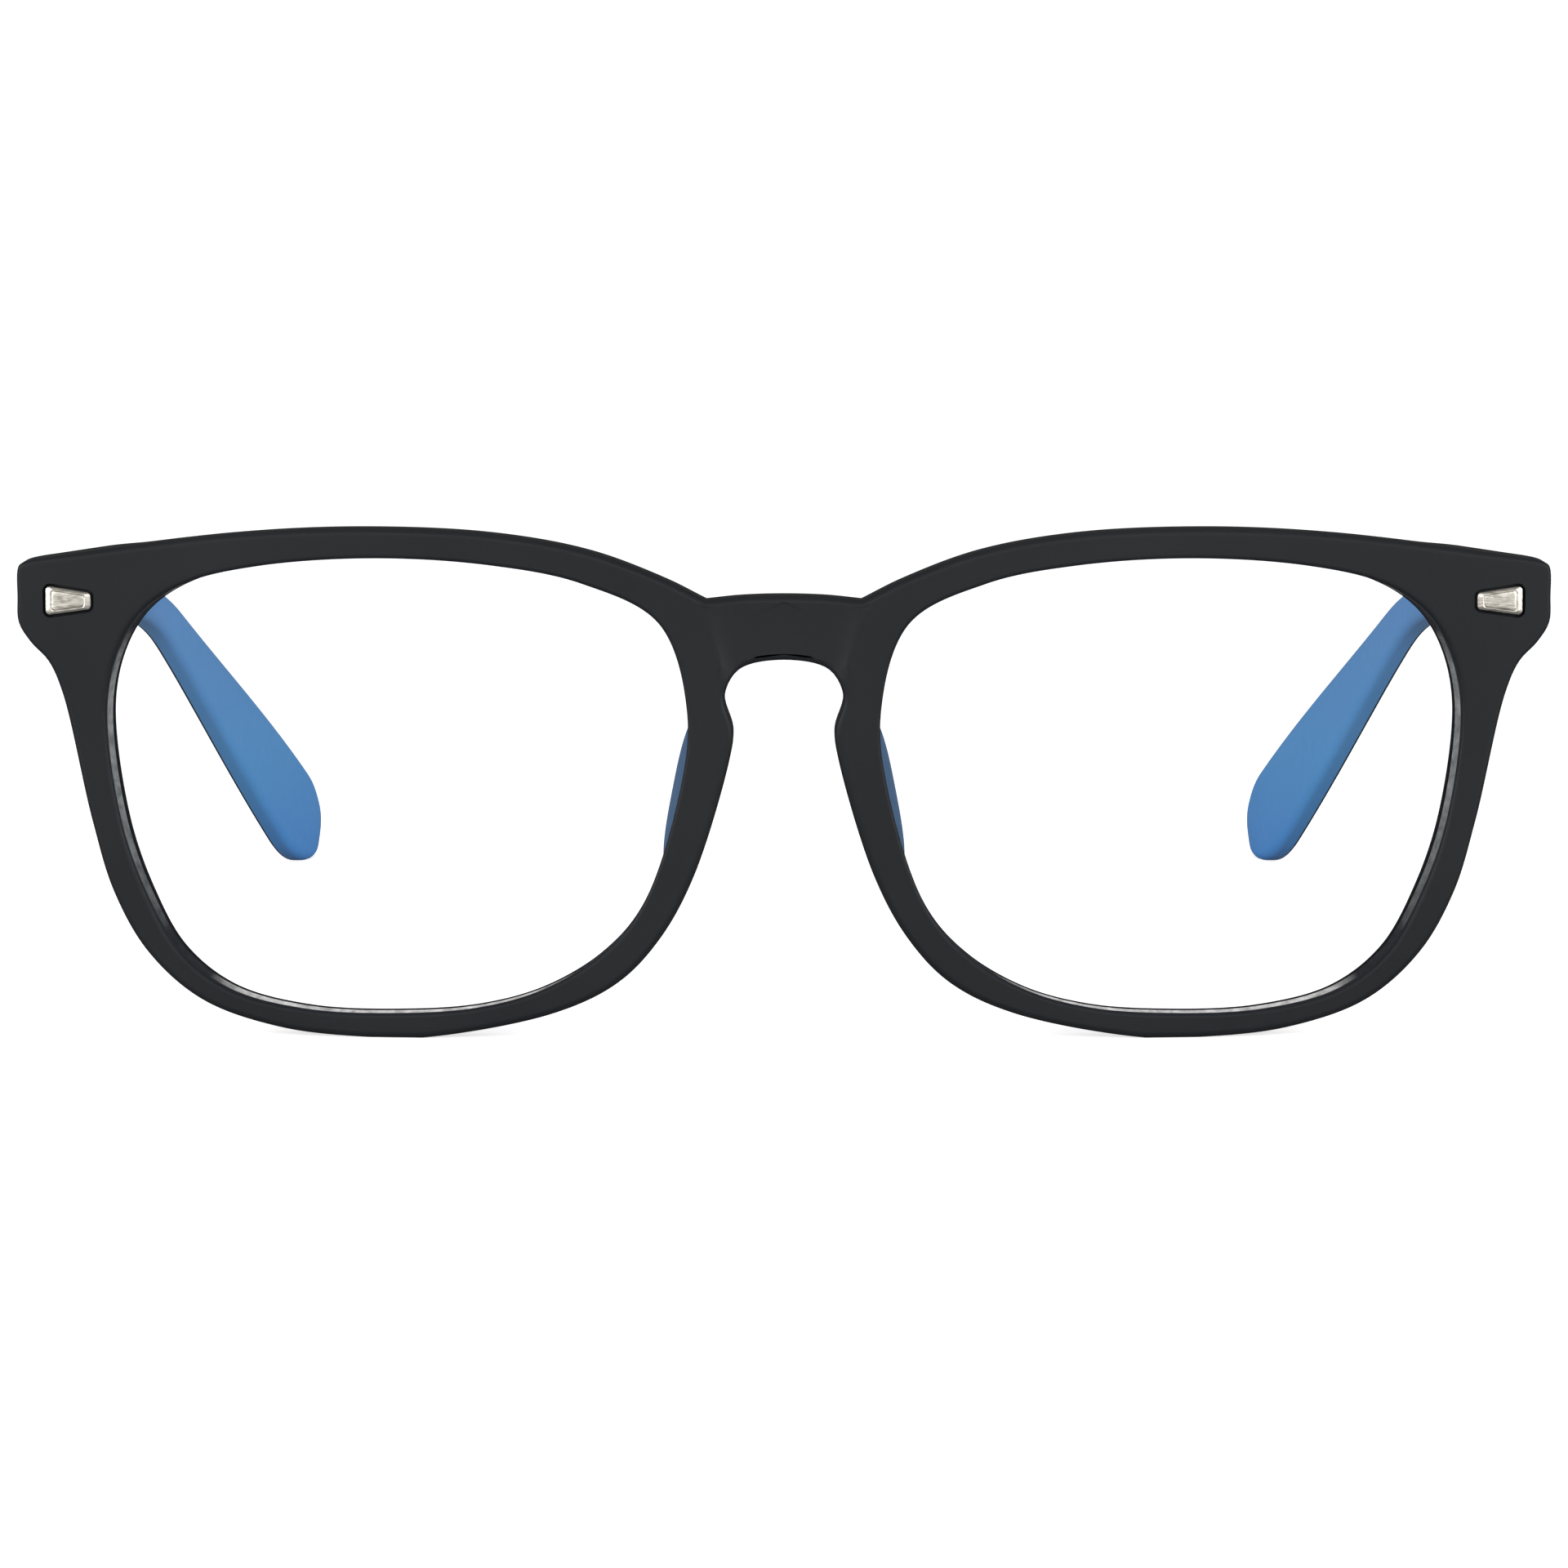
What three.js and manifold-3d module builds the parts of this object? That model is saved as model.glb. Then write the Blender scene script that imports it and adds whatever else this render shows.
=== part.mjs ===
// Blue-light spectacles: a bowed plastic front with two lenses, and two temples on five-barrel hinges.
// Millimetres. x runs to the wearer's left, y from the front back towards the ears, z up. Pieces are
// modelled standing on a table at z = 0, and the finished group is moved so that its origin is the middle
// of the bridge's front face.
import * as THREE from "three";
import { mergeVertices } from "three/addons/utils/BufferGeometryUtils.js";
import Module from "manifold-3d";

const wasm = await Module();
wasm.setup();

// ---------- Driving dimensions ----------
const BRIDGE_HEIGHT = 38.5; // the bridge's middle above the table
const BOW_RADIUS = 400; // the front's bow, seen from above
const RIM_DEPTH = 4.2; // front face to back face of a rim
const EDGE = 0.45; // chamfer along the front's edges
const COLUMN_PITCH = 3.2; // longest step between two cross-sections of a rim

// The outer edge of the left half, clockwise from the bridge's top as seen from the front: [x, z], with
// smooth curves between. The mirror plane is x = 0.
const OUTER_EDGE = [
  [0, 41.5], // bridge
  [4, 41.4],
  [7.2, 41.1],
  [11, 43], // brow
  [18, 45.6],
  [27, 47.2],
  [39, 47.7],
  [51, 47.1],
  [67, 45],
  [71.2, 44.2], // end piece
  [71.6, 43.8],
  [71.7, 41],
  [71.6, 38.6],
  [70.5, 36.8],
  [68.8, 35],
  [67.5, 32], // outer side
  [64.8, 20],
  [62.8, 13.3],
  [59.6, 7.7],
  [54.5, 3.3],
  [47, 0.8], // bottom
  [38.8, 0],
  [33.8, 0],
  [21.5, 2.4],
  [15.5, 5.3],
  [11.6, 9.4], // nose side
  [8.4, 15.3],
  [5, 26.5],
  [4.7, 29], // keyhole
  [5.5, 32.2],
  [4.2, 34.6],
  [0, 35.5],
];
const NOTCH = 2; // place in OUTER_EDGE of the sharp corner between bridge and brow

// The lens opening, a smooth loop the same way round. Each row is [x, z, place], and the place is where in
// OUTER_EDGE the point lies across from.
const OPENING = [
  [11.6, 38.9, 2],
  [18.7, 42.6, 4],
  [27.3, 44.3, 5],
  [38.3, 44.9, 6],
  [49, 44.1, 7],
  [55.7, 42.5, 7.6],
  [59.7, 40, 9],
  [62.1, 36.5, 12],
  [63.4, 31, 15],
  [62.2, 20.4, 16],
  [59.9, 13.5, 17],
  [56.8, 8, 18],
  [52.1, 4.4, 19],
  [45, 2.6, 20],
  [36, 2.3, 21.5],
  [28.6, 2.9, 22.4],
  [22.6, 4.6, 23],
  [17.1, 7.9, 24],
  [13.4, 12.2, 25],
  [10, 22, 26.5],
  [9, 30.5, 28.5],
];

const BRIDGE_FLAT = 3; // half the width of the flat in the bridge's middle
const BRIDGE_SET_BACK = 0.7; // how far the bridge's middle lies behind the rims beside it
const BRIDGE_CREASE = { x: 6.3, z: 36.6, slant: 0.26 }; // the slanted line where a rim begins
const BRIDGE_SWELL = 0.8; // extra depth of the bridge at its back
const LUG_BACK = 11; // the flat back face of the end pieces

const LENS_CENTRE = { x: 35.9, z: 23.8 };
const LENS_RADIUS = 175; // surface curvature, base 3
const LENS_APEX = 2; // middle of the lens, behind the bridge's front face
const LENS_THICKNESS = 2;
const BEVEL = 0.6; // how far the lens's edge stands into the rim
const GROOVE_DEPTH = 0.95;
const GROOVE_HALF = 1.1;

const HINGE = { x: 66.1, y: 12.6, z: 40.8 };
const KNUCKLE_RADIUS = 1.35;
const KNUCKLE_HEIGHT = 1.1;
const KNUCKLE_GAP = 0.12;
const KNUCKLES = 5;
const PIN_RADIUS = 0.65;
const BORE_RADIUS = 0.72;

const TEMPLE = {
  start: 11.25, // butt face, a quarter millimetre behind the end piece
  middleZ: 41.2, // middle of the butt face
  innerX: 67.5, // inner face of the straight part
  length: 145,
  slope: 5.4, // degrees below level, from hinge to bend
  hookSlope: 28.6, // degrees below level, from bend to tip
  bendFrom: 68.5,
  bendTo: 86.1,
  inward: 0.21, // how steeply the hook leans towards the head
  inwardFrom: 72.4,
  inwardRun: 16.7,
  roundAbove: 8.5, // lengths over which the tip rounds off, along its upper and its lower edge
  roundBelow: 13.2,
};

// ---------- Materials ----------
const matteBlack = new THREE.MeshStandardMaterial({ color: 0x2c2e31, roughness: 0.6 });
const matteBlue = new THREE.MeshStandardMaterial({ color: 0x5588ba, roughness: 0.5 });
const padBlue = new THREE.MeshStandardMaterial({ color: 0x4a78b4, roughness: 0.55 });
const silver = new THREE.MeshStandardMaterial({ color: 0xd9d6cc, roughness: 0.25, metalness: 1 });
const steel = new THREE.MeshStandardMaterial({ color: 0xa8aaad, roughness: 0.35, metalness: 1 });
const clear = new THREE.MeshStandardMaterial({
  color: 0xf4f8fa,
  roughness: 0.05,
  transparent: true,
  opacity: 0.2,
});

// ---------- Small helpers ----------
const lerp = THREE.MathUtils.lerp;
const smooth = (x, from, to) => THREE.MathUtils.smoothstep(x, from, to);
const bow = (x) => Math.max(0, Math.abs(x) - BRIDGE_FLAT) ** 2 / (2 * BOW_RADIUS);

// How far a wall that stands square to the bowed front has shifted towards the nose at depth y.
const lean = (x, y) => (Math.max(0, y - bow(x)) * x) / BOW_RADIUS;

// A closed geometry as a manifold-3d solid, and back.
function toSolid(geometry) {
  const bare = geometry.clone();
  bare.deleteAttribute("normal");
  bare.deleteAttribute("uv");
  const merged = mergeVertices(bare, 1e-4);
  return new wasm.Manifold(
    new wasm.Mesh({
      numProp: 3,
      vertProperties: new Float32Array(merged.attributes.position.array),
      triVerts: new Uint32Array(merged.index.array),
    }),
  );
}

function toGeometry(solid) {
  const { vertProperties, triVerts } = solid.getMesh();
  return new THREE.BufferGeometry()
    .setAttribute("position", new THREE.BufferAttribute(vertProperties, 3))
    .setIndex(new THREE.BufferAttribute(triVerts, 1));
}

const join = (...parts) => parts.map(toSolid).reduce((a, b) => a.add(b));
const cut = (solid, ...tools) => tools.map(toSolid).reduce((a, b) => a.subtract(b), solid);

function fromTriangles(points, triangles) {
  const flat = triangles.flatMap((t) => t.flatMap((i) => points[i].toArray()));
  return new THREE.BufferGeometry().setAttribute(
    "position",
    new THREE.Float32BufferAttribute(flat, 3),
  );
}

// A box between two corners.
function box(x0, y0, z0, x1, y1, z1) {
  const g = new THREE.BoxGeometry(x1 - x0, y1 - y0, z1 - z0);
  return g.translate((x0 + x1) / 2, (y0 + y1) / 2, (z0 + z1) / 2);
}

// An upright cylinder.
function post(x, y, z0, z1, radius, sides = 20) {
  const g = new THREE.CylinderGeometry(radius, radius, z1 - z0, sides);
  return g.rotateX(Math.PI / 2).translate(x, y, (z0 + z1) / 2);
}

// A closed skin over rings of equally many points, with a middle point at each end.
function loft(rings, firstMiddle, lastMiddle) {
  const n = rings[0].length;
  const points = [...rings.flat(), firstMiddle, lastMiddle];
  const first = points.length - 2;
  const triangles = [];
  for (let j = 0; j < n; j++) {
    const k = (j + 1) % n;
    triangles.push([first, k, j]);
    for (let r = 0; r + 1 < rings.length; r++) {
      const [a, b] = [r * n + j, r * n + k];
      triangles.push([a, b, b + n], [a, b + n, a + n]);
    }
    const last = (rings.length - 1) * n;
    triangles.push([first + 1, last + j, last + k]);
  }
  return fromTriangles(points, triangles);
}

// ---------- The outlines of a rim ----------
// Columns around the rim: each holds an outer point, a lens-opening point and their normals into the rim.
function rimColumns() {
  const flat = (x, z) => new THREE.Vector3(x, 0, z);
  const outerPoints = OUTER_EDGE.map(([x, z]) => flat(x, z));
  const innerPoints = OPENING.map(([x, z]) => flat(x, z));
  const last = outerPoints.length - 1;
  const crossings = [...OPENING.map(([, , place]) => place), OPENING[0][2] + last + 1];
  const curve = (points) => new THREE.CatmullRomCurve3(points, false, "centripetal");
  const bridgeTop = curve(outerPoints.slice(0, NOTCH + 1));
  const around = curve(outerPoints.slice(NOTCH));
  const opening = new THREE.CatmullRomCurve3(innerPoints, true, "centripetal");
  const outerAt = (s) => {
    if (s <= NOTCH) return bridgeTop.getPoint(s / NOTCH);
    if (s <= last) return around.getPoint((s - NOTCH) / (last - NOTCH));
    return outerPoints[last].clone().lerp(outerPoints[0], s - last);
  };
  const innerAt = (s) => {
    const place = s < crossings[0] ? s + last + 1 : s;
    const i = crossings.findLastIndex((crossing) => crossing <= place);
    const share = (place - crossings[i]) / (crossings[i + 1] - crossings[i]);
    return opening.getPoint((i + share) / innerPoints.length);
  };
  const side = (at, s) => {
    const d = at(s + 0.01).sub(at(Math.max(s - 0.01, 0))).normalize();
    return flat(d.z, -d.x);
  };
  const columns = [];
  for (let i = 0; i <= last; i++) {
    const end = outerPoints[(i + 1) % (last + 1)];
    const steps = Math.ceil(outerPoints[i].distanceTo(end) / COLUMN_PITCH);
    for (let k = 0; k < steps; k++) {
      const s = i + k / steps;
      const onMirror = s >= last || s === 0;
      columns.push({
        outer: outerAt(s),
        inner: innerAt(s),
        outerIn: onMirror ? flat(0, s === 0 ? -1 : s === last ? 1 : 0) : side(outerAt, s),
        innerIn: side(innerAt, s).negate(),
        inMirrorGap: s >= last,
      });
    }
  }
  return columns;
}

// Front and back faces of the front, as depths over (x, z). The bridge is hollowed: its sides curve forward
// from a flat middle to a crease at each rim. `reach` is the distance from the lens opening.
function frontFace(x, z) {
  const crease = BRIDGE_CREASE.x + BRIDGE_CREASE.slant * (z - BRIDGE_CREASE.z);
  const across = THREE.MathUtils.clamp((x - BRIDGE_FLAT) / (crease - BRIDGE_FLAT), 0, 1);
  return bow(x) + BRIDGE_SET_BACK * (1 - across ** 2) * smooth(z, 31.4, 34.4);
}

function backFace(x, z, reach) {
  const rim = bow(x) + RIM_DEPTH + BRIDGE_SWELL * smooth(9 - x, 0, 9);
  return lerp(rim, LUG_BACK, smooth(reach, 0.9, 3.4) * smooth(x, 59, 63.5) * smooth(z, 32, 37));
}

function lensFace(x, z) {
  const [dx, dz] = [x - LENS_CENTRE.x, z - LENS_CENTRE.z];
  const tilt = (dx * (LENS_CENTRE.x - BRIDGE_FLAT)) / BOW_RADIUS;
  return LENS_APEX + tilt + (dx * dx + dz * dz) / (2 * LENS_RADIUS);
}

// The closed cross-section of the rim at a column, from the groove's bottom round by the front face. The
// walls of the lens opening stand square to the bowed front, so deeper points lean towards the nose.
function rimSection({ outer, inner, outerIn, innerIn }) {
  const width = outer.distanceTo(inner);
  const at = (p, y) => {
    const share = Math.max(0, 1 - p.distanceTo(inner) / width);
    return new THREE.Vector3(p.x - share * lean(p.x, y), y, p.z);
  };
  const grooveBottom = inner.clone().addScaledVector(innerIn, GROOVE_DEPTH);
  const innerEdge = inner.clone().addScaledVector(innerIn, EDGE);
  const outerEdge = outer.clone().addScaledVector(outerIn, EDGE);
  const across = (u) => innerEdge.clone().lerp(outerEdge, u);
  const front = (p) => frontFace(p.x, p.z);
  const back = (p) => backFace(p.x, p.z, p.distanceTo(inner));
  const groove = lensFace(inner.x, inner.z);
  return [
    at(grooveBottom, groove),
    at(inner, groove - GROOVE_HALF),
    at(inner, front(inner) + EDGE),
    ...[0, 0.4, 0.7, 1].map(across).map((p) => at(p, front(p))),
    at(outer, front(outerEdge) + EDGE),
    at(outer, back(outerEdge) - EDGE),
    ...[1, 0.5, 0].map(across).map((p) => at(p, back(p))),
    at(inner, back(innerEdge) - EDGE),
    at(inner, groove + GROOVE_HALF),
  ];
}
const OUTER_WALL = [6, 9]; // section points between which the mirror plane leaves the rim open

// Both halves of the front as one closed mesh: the left half and its mirror image share the open edge.
function frontBlank() {
  const columns = rimColumns();
  const sections = columns.map(rimSection);
  const n = sections[0].length;
  const points = sections.flat();
  const triangles = [];
  columns.forEach((column, i) => {
    const next = (i + 1) % columns.length;
    for (let j = 0; j < n; j++) {
      const k = (j + 1) % n;
      if (column.inMirrorGap && j >= OUTER_WALL[0] && j < OUTER_WALL[1]) continue;
      const [a, b, c, d] = [i * n + j, next * n + j, next * n + k, i * n + k];
      triangles.push([a, b, c], [a, c, d]);
    }
  });
  const mirrored = points.map((p) => new THREE.Vector3(-p.x, p.y, p.z));
  const shift = points.length;
  const both = [...triangles, ...triangles.map(([a, b, c]) => [a + shift, c + shift, b + shift])];
  return fromTriangles([...points, ...mirrored], both);
}

// ---------- The plaque on each end piece ----------
// A plain bar, taller at its temple end. Modelled flat in (x, z) about its own middle, front face at y = 0,
// then turned to lie along the bow.
const PLAQUE_MIDDLE = { x: 66.85, z: 40.7 };
const PLAQUE = { half: 2.15, noseHalf: 0.8, templeHalf: 1.3, corner: 0.4 };
const PLAQUE_PROUD = 0.15;
const PLAQUE_GAP = 0.3;
const PLAQUE_SINK = 0.9;
const STAKES = [-1, 1];
const STAKE_RADIUS = 0.4;
const STAKE_DEPTH = 1.1;

function onEndPiece(geometry) {
  const { x, z } = PLAQUE_MIDDLE;
  return geometry.rotateZ(Math.atan((x - BRIDGE_FLAT) / BOW_RADIUS)).translate(x, bow(x), z);
}

// A flat outline in (x, z), pushed back from y0 to y1.
function plate(outline, y0, y1) {
  const shape = new THREE.Shape(outline.map(([x, z]) => new THREE.Vector2(x, z)));
  const g = new THREE.ExtrudeGeometry(shape, { depth: y1 - y0, bevelEnabled: false });
  return g.rotateX(Math.PI / 2).translate(0, y1, 0);
}

// The plaque's outline grown by a gap: four round corners, temple end first.
function plaqueOutline(gap) {
  const { half, noseHalf, templeHalf, corner } = PLAQUE;
  const taper = Math.atan((templeHalf - noseHalf) / (2 * (half - corner)));
  const quarter = Math.PI / 2;
  const corners = [
    [1, 1, templeHalf, 0, quarter + taper],
    [-1, 1, noseHalf, quarter + taper, 2 * quarter],
    [-1, -1, noseHalf, 2 * quarter, 3 * quarter - taper],
    [1, -1, templeHalf, 3 * quarter - taper, 4 * quarter],
  ];
  return corners.flatMap(([right, up, height, from, to]) =>
    [0, 1 / 3, 2 / 3, 1].map((share) => {
      const a = lerp(from, to, share);
      const reach = corner + gap;
      return [right * (half - corner) + reach * Math.cos(a), up * (height - corner) + reach * Math.sin(a)];
    }),
  );
}

function stake(x, gap) {
  const g = new THREE.CylinderGeometry(STAKE_RADIUS + gap, STAKE_RADIUS + gap, STAKE_DEPTH + gap, 10);
  return g.translate(x, PLAQUE_SINK - 0.2 + (STAKE_DEPTH + gap) / 2, 0);
}

function plaque() {
  const bar = plate(plaqueOutline(0), -PLAQUE_PROUD, PLAQUE_SINK - 0.05);
  return onEndPiece(toGeometry(join(bar, ...STAKES.map((x) => stake(x, 0)))));
}

const plaquePocket = () =>
  [plate(plaqueOutline(PLAQUE_GAP), -3, PLAQUE_SINK), ...STAKES.map((x) => stake(x, 0.08))].map(onEndPiece);

// ---------- Nose pads ----------
const PAD = { bottom: 14.2, top: 31, front: 4.65, depth: 5.4, width: 2.4 };
const PAD_KEY = { half: 0.5, depth: 1.4, z0: 21, z1: 26 };

// x of the pad's middle where it meets the rim, and of its outer surface at the back, at height z.
const padRoot = (z) => 6.9 + 0.22 * (28 - z);
const padBack = (z) => 10.1 + 0.19 * (27.5 - z);

function padGeometry() {
  const rings = [];
  const steps = 10;
  const sides = 14;
  for (let i = 0; i <= steps; i++) {
    const t = (1 - Math.cos(lerp(0.09, 0.91, i / steps) * Math.PI)) / 2;
    const z = lerp(PAD.bottom, PAD.top, t);
    const swell = (1 - Math.abs(2 * t - 1) ** 3) ** (1 / 3);
    const ring = [];
    for (let j = 0; j < sides; j++) {
      const a = (2 * Math.PI * j) / sides;
      const [c, s] = [Math.cos(a), Math.sin(a)];
      const along = (PAD.depth / 2) * swell * (1 + Math.sign(c) * Math.abs(c) ** (c < 0 ? 0.4 : 0.9));
      const aside = (-PAD.width / 2) * swell * Math.sign(s) * Math.abs(s) ** 0.75;
      const middle = lerp(padRoot(z), padBack(z) - PAD.width / 2, along / PAD.depth);
      ring.push(new THREE.Vector3(middle + aside, PAD.front + along, z));
    }
    rings.push(ring);
  }
  const middle = (ring) => ring.reduce((m, p) => m.addScaledVector(p, 1 / sides), new THREE.Vector3());
  return loft(rings, middle(rings[0]), middle(rings[steps]));
}

function padKey(gap) {
  const x = padRoot(23.5);
  const { half, depth, z0, z1 } = PAD_KEY;
  const y = PAD.front - depth;
  return box(x - half - gap, y - gap, z0 - gap, x + half + gap, PAD.front + 1.2, z1 + gap);
}

const nosePad = () => toGeometry(join(padGeometry(), padKey(0)));

// ---------- Lenses ----------
function lens() {
  const middle = new THREE.Vector3(LENS_CENTRE.x, 0, LENS_CENTRE.z);
  const columns = rimColumns();
  const ring = (grow, share, offset) =>
    columns.map(({ inner, innerIn }) => {
      const p = inner.clone().addScaledVector(innerIn, grow);
      p.lerp(middle, 1 - share);
      const from = grow > 0 ? inner : p;
      p.setY(lensFace(from.x, from.z) + offset);
      return p.setX(p.x - share * lean(p.x, p.y));
    });
  const half = LENS_THICKNESS / 2;
  const faces = [0.35, 0.7];
  const rings = [
    ...faces.map((share) => ring(-0.15, share, -half)),
    ring(-0.15, 1, -half),
    ring(BEVEL, 1, 0),
    ring(-0.15, 1, half),
    ...faces.reverse().map((share) => ring(-0.15, share, half)),
  ];
  const pole = (offset) => middle.clone().setY(LENS_APEX + offset);
  return loft(rings, pole(-half), pole(half));
}

// ---------- Hinges ----------
const hingeBottom = HINGE.z - (KNUCKLES * KNUCKLE_HEIGHT + (KNUCKLES - 1) * KNUCKLE_GAP) / 2;
const hingeTop = 2 * HINGE.z - hingeBottom;
const knuckleZ = (k) => hingeBottom + k * (KNUCKLE_HEIGHT + KNUCKLE_GAP);
const ANCHOR = [63.6, 8.3, 38.7, 66.9, 11.1, 42.9];
const PLATE = { x0: 66.95, x1: 67.95, y0: 13.75, y1: 22, z0: 39, z1: 42.6 };
const LEAF_REACH = 3.1; // from the pin to the front leaf's nose-side end
const LEAF_SCREWS = [16.2, 19.8];
const LEAF_SCREW_RADIUS = 0.45;

function knuckles(which, web) {
  return which.flatMap((k) => {
    const [z0, z1] = [knuckleZ(k), knuckleZ(k) + KNUCKLE_HEIGHT];
    return [post(HINGE.x, HINGE.y, z0, z1, KNUCKLE_RADIUS), web(z0, z1)];
  });
}

const hingeBore = () => post(HINGE.x, HINGE.y, hingeBottom - 1, hingeTop + 1, BORE_RADIUS, 16);

// Three knuckles on a flange, with the anchor that is sunk into the end piece.
function frontLeaf() {
  const face = LUG_BACK + 0.05;
  const flange = box(HINGE.x - LEAF_REACH, face, hingeBottom, HINGE.x - 1.55, face + 0.75, hingeTop);
  const web = (z0, z1) => box(HINGE.x - LEAF_REACH + 0.5, face, z0, HINGE.x, HINGE.y, z1);
  return toGeometry(cut(join(flange, box(...ANCHOR), ...knuckles([0, 2, 4], web)), hingeBore()));
}

// A round hole or screw along x.
function cross(x0, x1, y, radius, sides = 14) {
  const g = new THREE.CylinderGeometry(radius, radius, x1 - x0, sides);
  return g.rotateZ(Math.PI / 2).translate((x0 + x1) / 2, y, HINGE.z);
}

// Two knuckles on the plate that is let into the temple's inner face.
function templeLeaf() {
  const { x0, x1, y0, y1, z0, z1 } = PLATE;
  const web = (low, high) => box(HINGE.x, HINGE.y, low, x0 + 0.5, y0 + 0.4, high);
  const holes = LEAF_SCREWS.flatMap((y) => [
    cross(x0 - 1, x1 + 1, y, LEAF_SCREW_RADIUS + 0.07),
    cross(x0 - 1, x0 + 0.45, y, 0.9),
  ]);
  const leaf = join(box(x0, y0, z0, x1, y1, z1), ...knuckles([1, 3], web));
  return toGeometry(cut(leaf, hingeBore(), ...holes));
}

function leafScrew(y) {
  const head = cross(PLATE.x0, PLATE.x0 + 0.4, y, 0.82);
  return toGeometry(join(head, cross(PLATE.x0 + 0.2, PLATE.x1 + 1.9, y, LEAF_SCREW_RADIUS, 12)));
}

function hingeScrew() {
  const shank = post(HINGE.x, HINGE.y, hingeBottom - 0.2, hingeTop + 0.3, PIN_RADIUS, 16);
  const head = post(HINGE.x, HINGE.y, hingeTop + 0.06, hingeTop + 0.56, 1.15);
  const slot = box(HINGE.x - 2, HINGE.y - 0.16, hingeTop + 0.3, HINGE.x + 2, HINGE.y + 0.16, hingeTop + 1);
  return toGeometry(cut(join(shank, head), slot));
}

// ---------- Temples ----------
// The temple's middle line in (y, z), walked in short steps: level-ish, then the bend, then the hook.
function templePath() {
  const path = [];
  let [y, z] = [TEMPLE.start, TEMPLE.middleZ];
  for (let s = 0; s <= TEMPLE.length; s++) {
    const bend = smooth(s + 0.5, TEMPLE.bendFrom, TEMPLE.bendTo);
    const slope = THREE.MathUtils.degToRad(lerp(TEMPLE.slope, TEMPLE.hookSlope, bend));
    path.push({ s, y, z, slope });
    y += Math.cos(slope);
    z -= Math.sin(slope);
  }
  return path;
}

// Half the temple's height at s, slim at the bend and a paddle at the tip; `round` is the length over which
// that edge curves in to the tip.
function templeHalf(s, round) {
  const shaft = lerp(6.1, 3.65, smooth(s, 0, 70));
  const paddle = lerp(0, 7.15, smooth(s, 70, 140) ** 0.9);
  const past = Math.max(0, 1 - (TEMPLE.length - s) / round);
  return ((shaft + paddle) / 2) * Math.sqrt(1 - past ** 2);
}

const templeThickness = (s) => lerp(4.05, 2.33, smooth(s, 8, 95));
const skinThickness = (s) => lerp(1.3, 0.4, smooth(s, 12, 75));

function inwardLean(y) {
  const run = Math.max(0, y - TEMPLE.inwardFrom);
  const { inward, inwardRun } = TEMPLE;
  return run < inwardRun ? (inward * run * run) / (2 * inwardRun) : inward * (run - inwardRun / 2);
}

// Stations along the temple, closer together where it bends and where the tip rounds off.
const TEMPLE_STOPS = [
  0, 12, 24, 40, 56, 68, 72, 76, 80, 84, 88, 93, 99, 107, 115, 123, 131, 135, 138.5, 141.2, 143, 144.2, 144.8,
];

const LAYER_GAP = 0.08;

// One layer of the temple between two depths from the inner face; `rounded` names its chamfered side.
function templeLayer(from, to, rounded) {
  const path = templePath();
  const rings = TEMPLE_STOPS.map((s) => {
    const { y, z, slope } = path[Math.floor(s)];
    const part = s - Math.floor(s);
    const [above, below] = [templeHalf(s, TEMPLE.roundAbove), templeHalf(s, TEMPLE.roundBelow)];
    const [x0, x1] = [from(s), to(s)];
    const ease = Math.min(0.7, below * 0.35, (x1 - x0) * 0.8);
    const [near, far] = rounded === "inner" ? [ease, 0] : [0, ease];
    const corners = [
      [x0 + near, -below],
      [x1 - far, -below],
      [x1, far - below],
      [x1, above - far],
      [x1 - far, above],
      [x0 + near, above],
      [x0, above - near],
      [x0, near - below],
    ];
    const kept = corners.filter(([x, h], i) => {
      const [px, ph] = corners[(i + 7) % 8];
      return Math.hypot(x - px, h - ph) > 1e-6;
    });
    // The butt end is cut square to the front; further back, sections stand square to the temple.
    const turn = slope * smooth(s, 0, 12);
    return kept.reverse().map(([x, h]) => {
      const py = y + part * Math.cos(slope) + h * Math.sin(turn);
      const pz = z - part * Math.sin(slope) + h * Math.cos(turn);
      return new THREE.Vector3(TEMPLE.innerX + x - inwardLean(py), py, pz);
    });
  });
  const middle = (ring) => ring.reduce((m, p) => m.addScaledVector(p, 1 / ring.length), new THREE.Vector3());
  return loft(rings, middle(rings[0]), middle(rings.at(-1)));
}

// Everything below the table goes, which leaves the small flat the tip stands on.
const belowTable = () => box(-200, -50, -20, 200, 200, 0);

function templeInner() {
  const outside = (s) => templeThickness(s) - skinThickness(s) - LAYER_GAP;
  const layer = toSolid(templeLayer(() => 0, outside, "inner"));
  const { x1, y0, y1, z0, z1 } = PLATE;
  const recess = box(60, y0 - 0.15, z0 - 0.15, x1 + 0.08, y1 + 0.15, z1 + 0.15);
  const holes = LEAF_SCREWS.map((y) => cross(60, x1 + 2, y, LEAF_SCREW_RADIUS + 0.07, 12));
  return toGeometry(cut(layer, belowTable(), recess, ...holes));
}

function templeOuter() {
  const inside = (s) => templeThickness(s) - skinThickness(s);
  return toGeometry(cut(toSolid(templeLayer(inside, templeThickness, "outer")), belowTable()));
}

// ---------- The front ----------
const mirrorX = (g) => {
  const flipped = g.clone().scale(-1, 1, 1);
  const index = g.index ? [...g.index.array] : [...Array(g.attributes.position.count).keys()];
  for (let i = 0; i < index.length; i += 3) [index[i + 1], index[i + 2]] = [index[i + 2], index[i + 1]];
  return flipped.setIndex(index);
};

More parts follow.
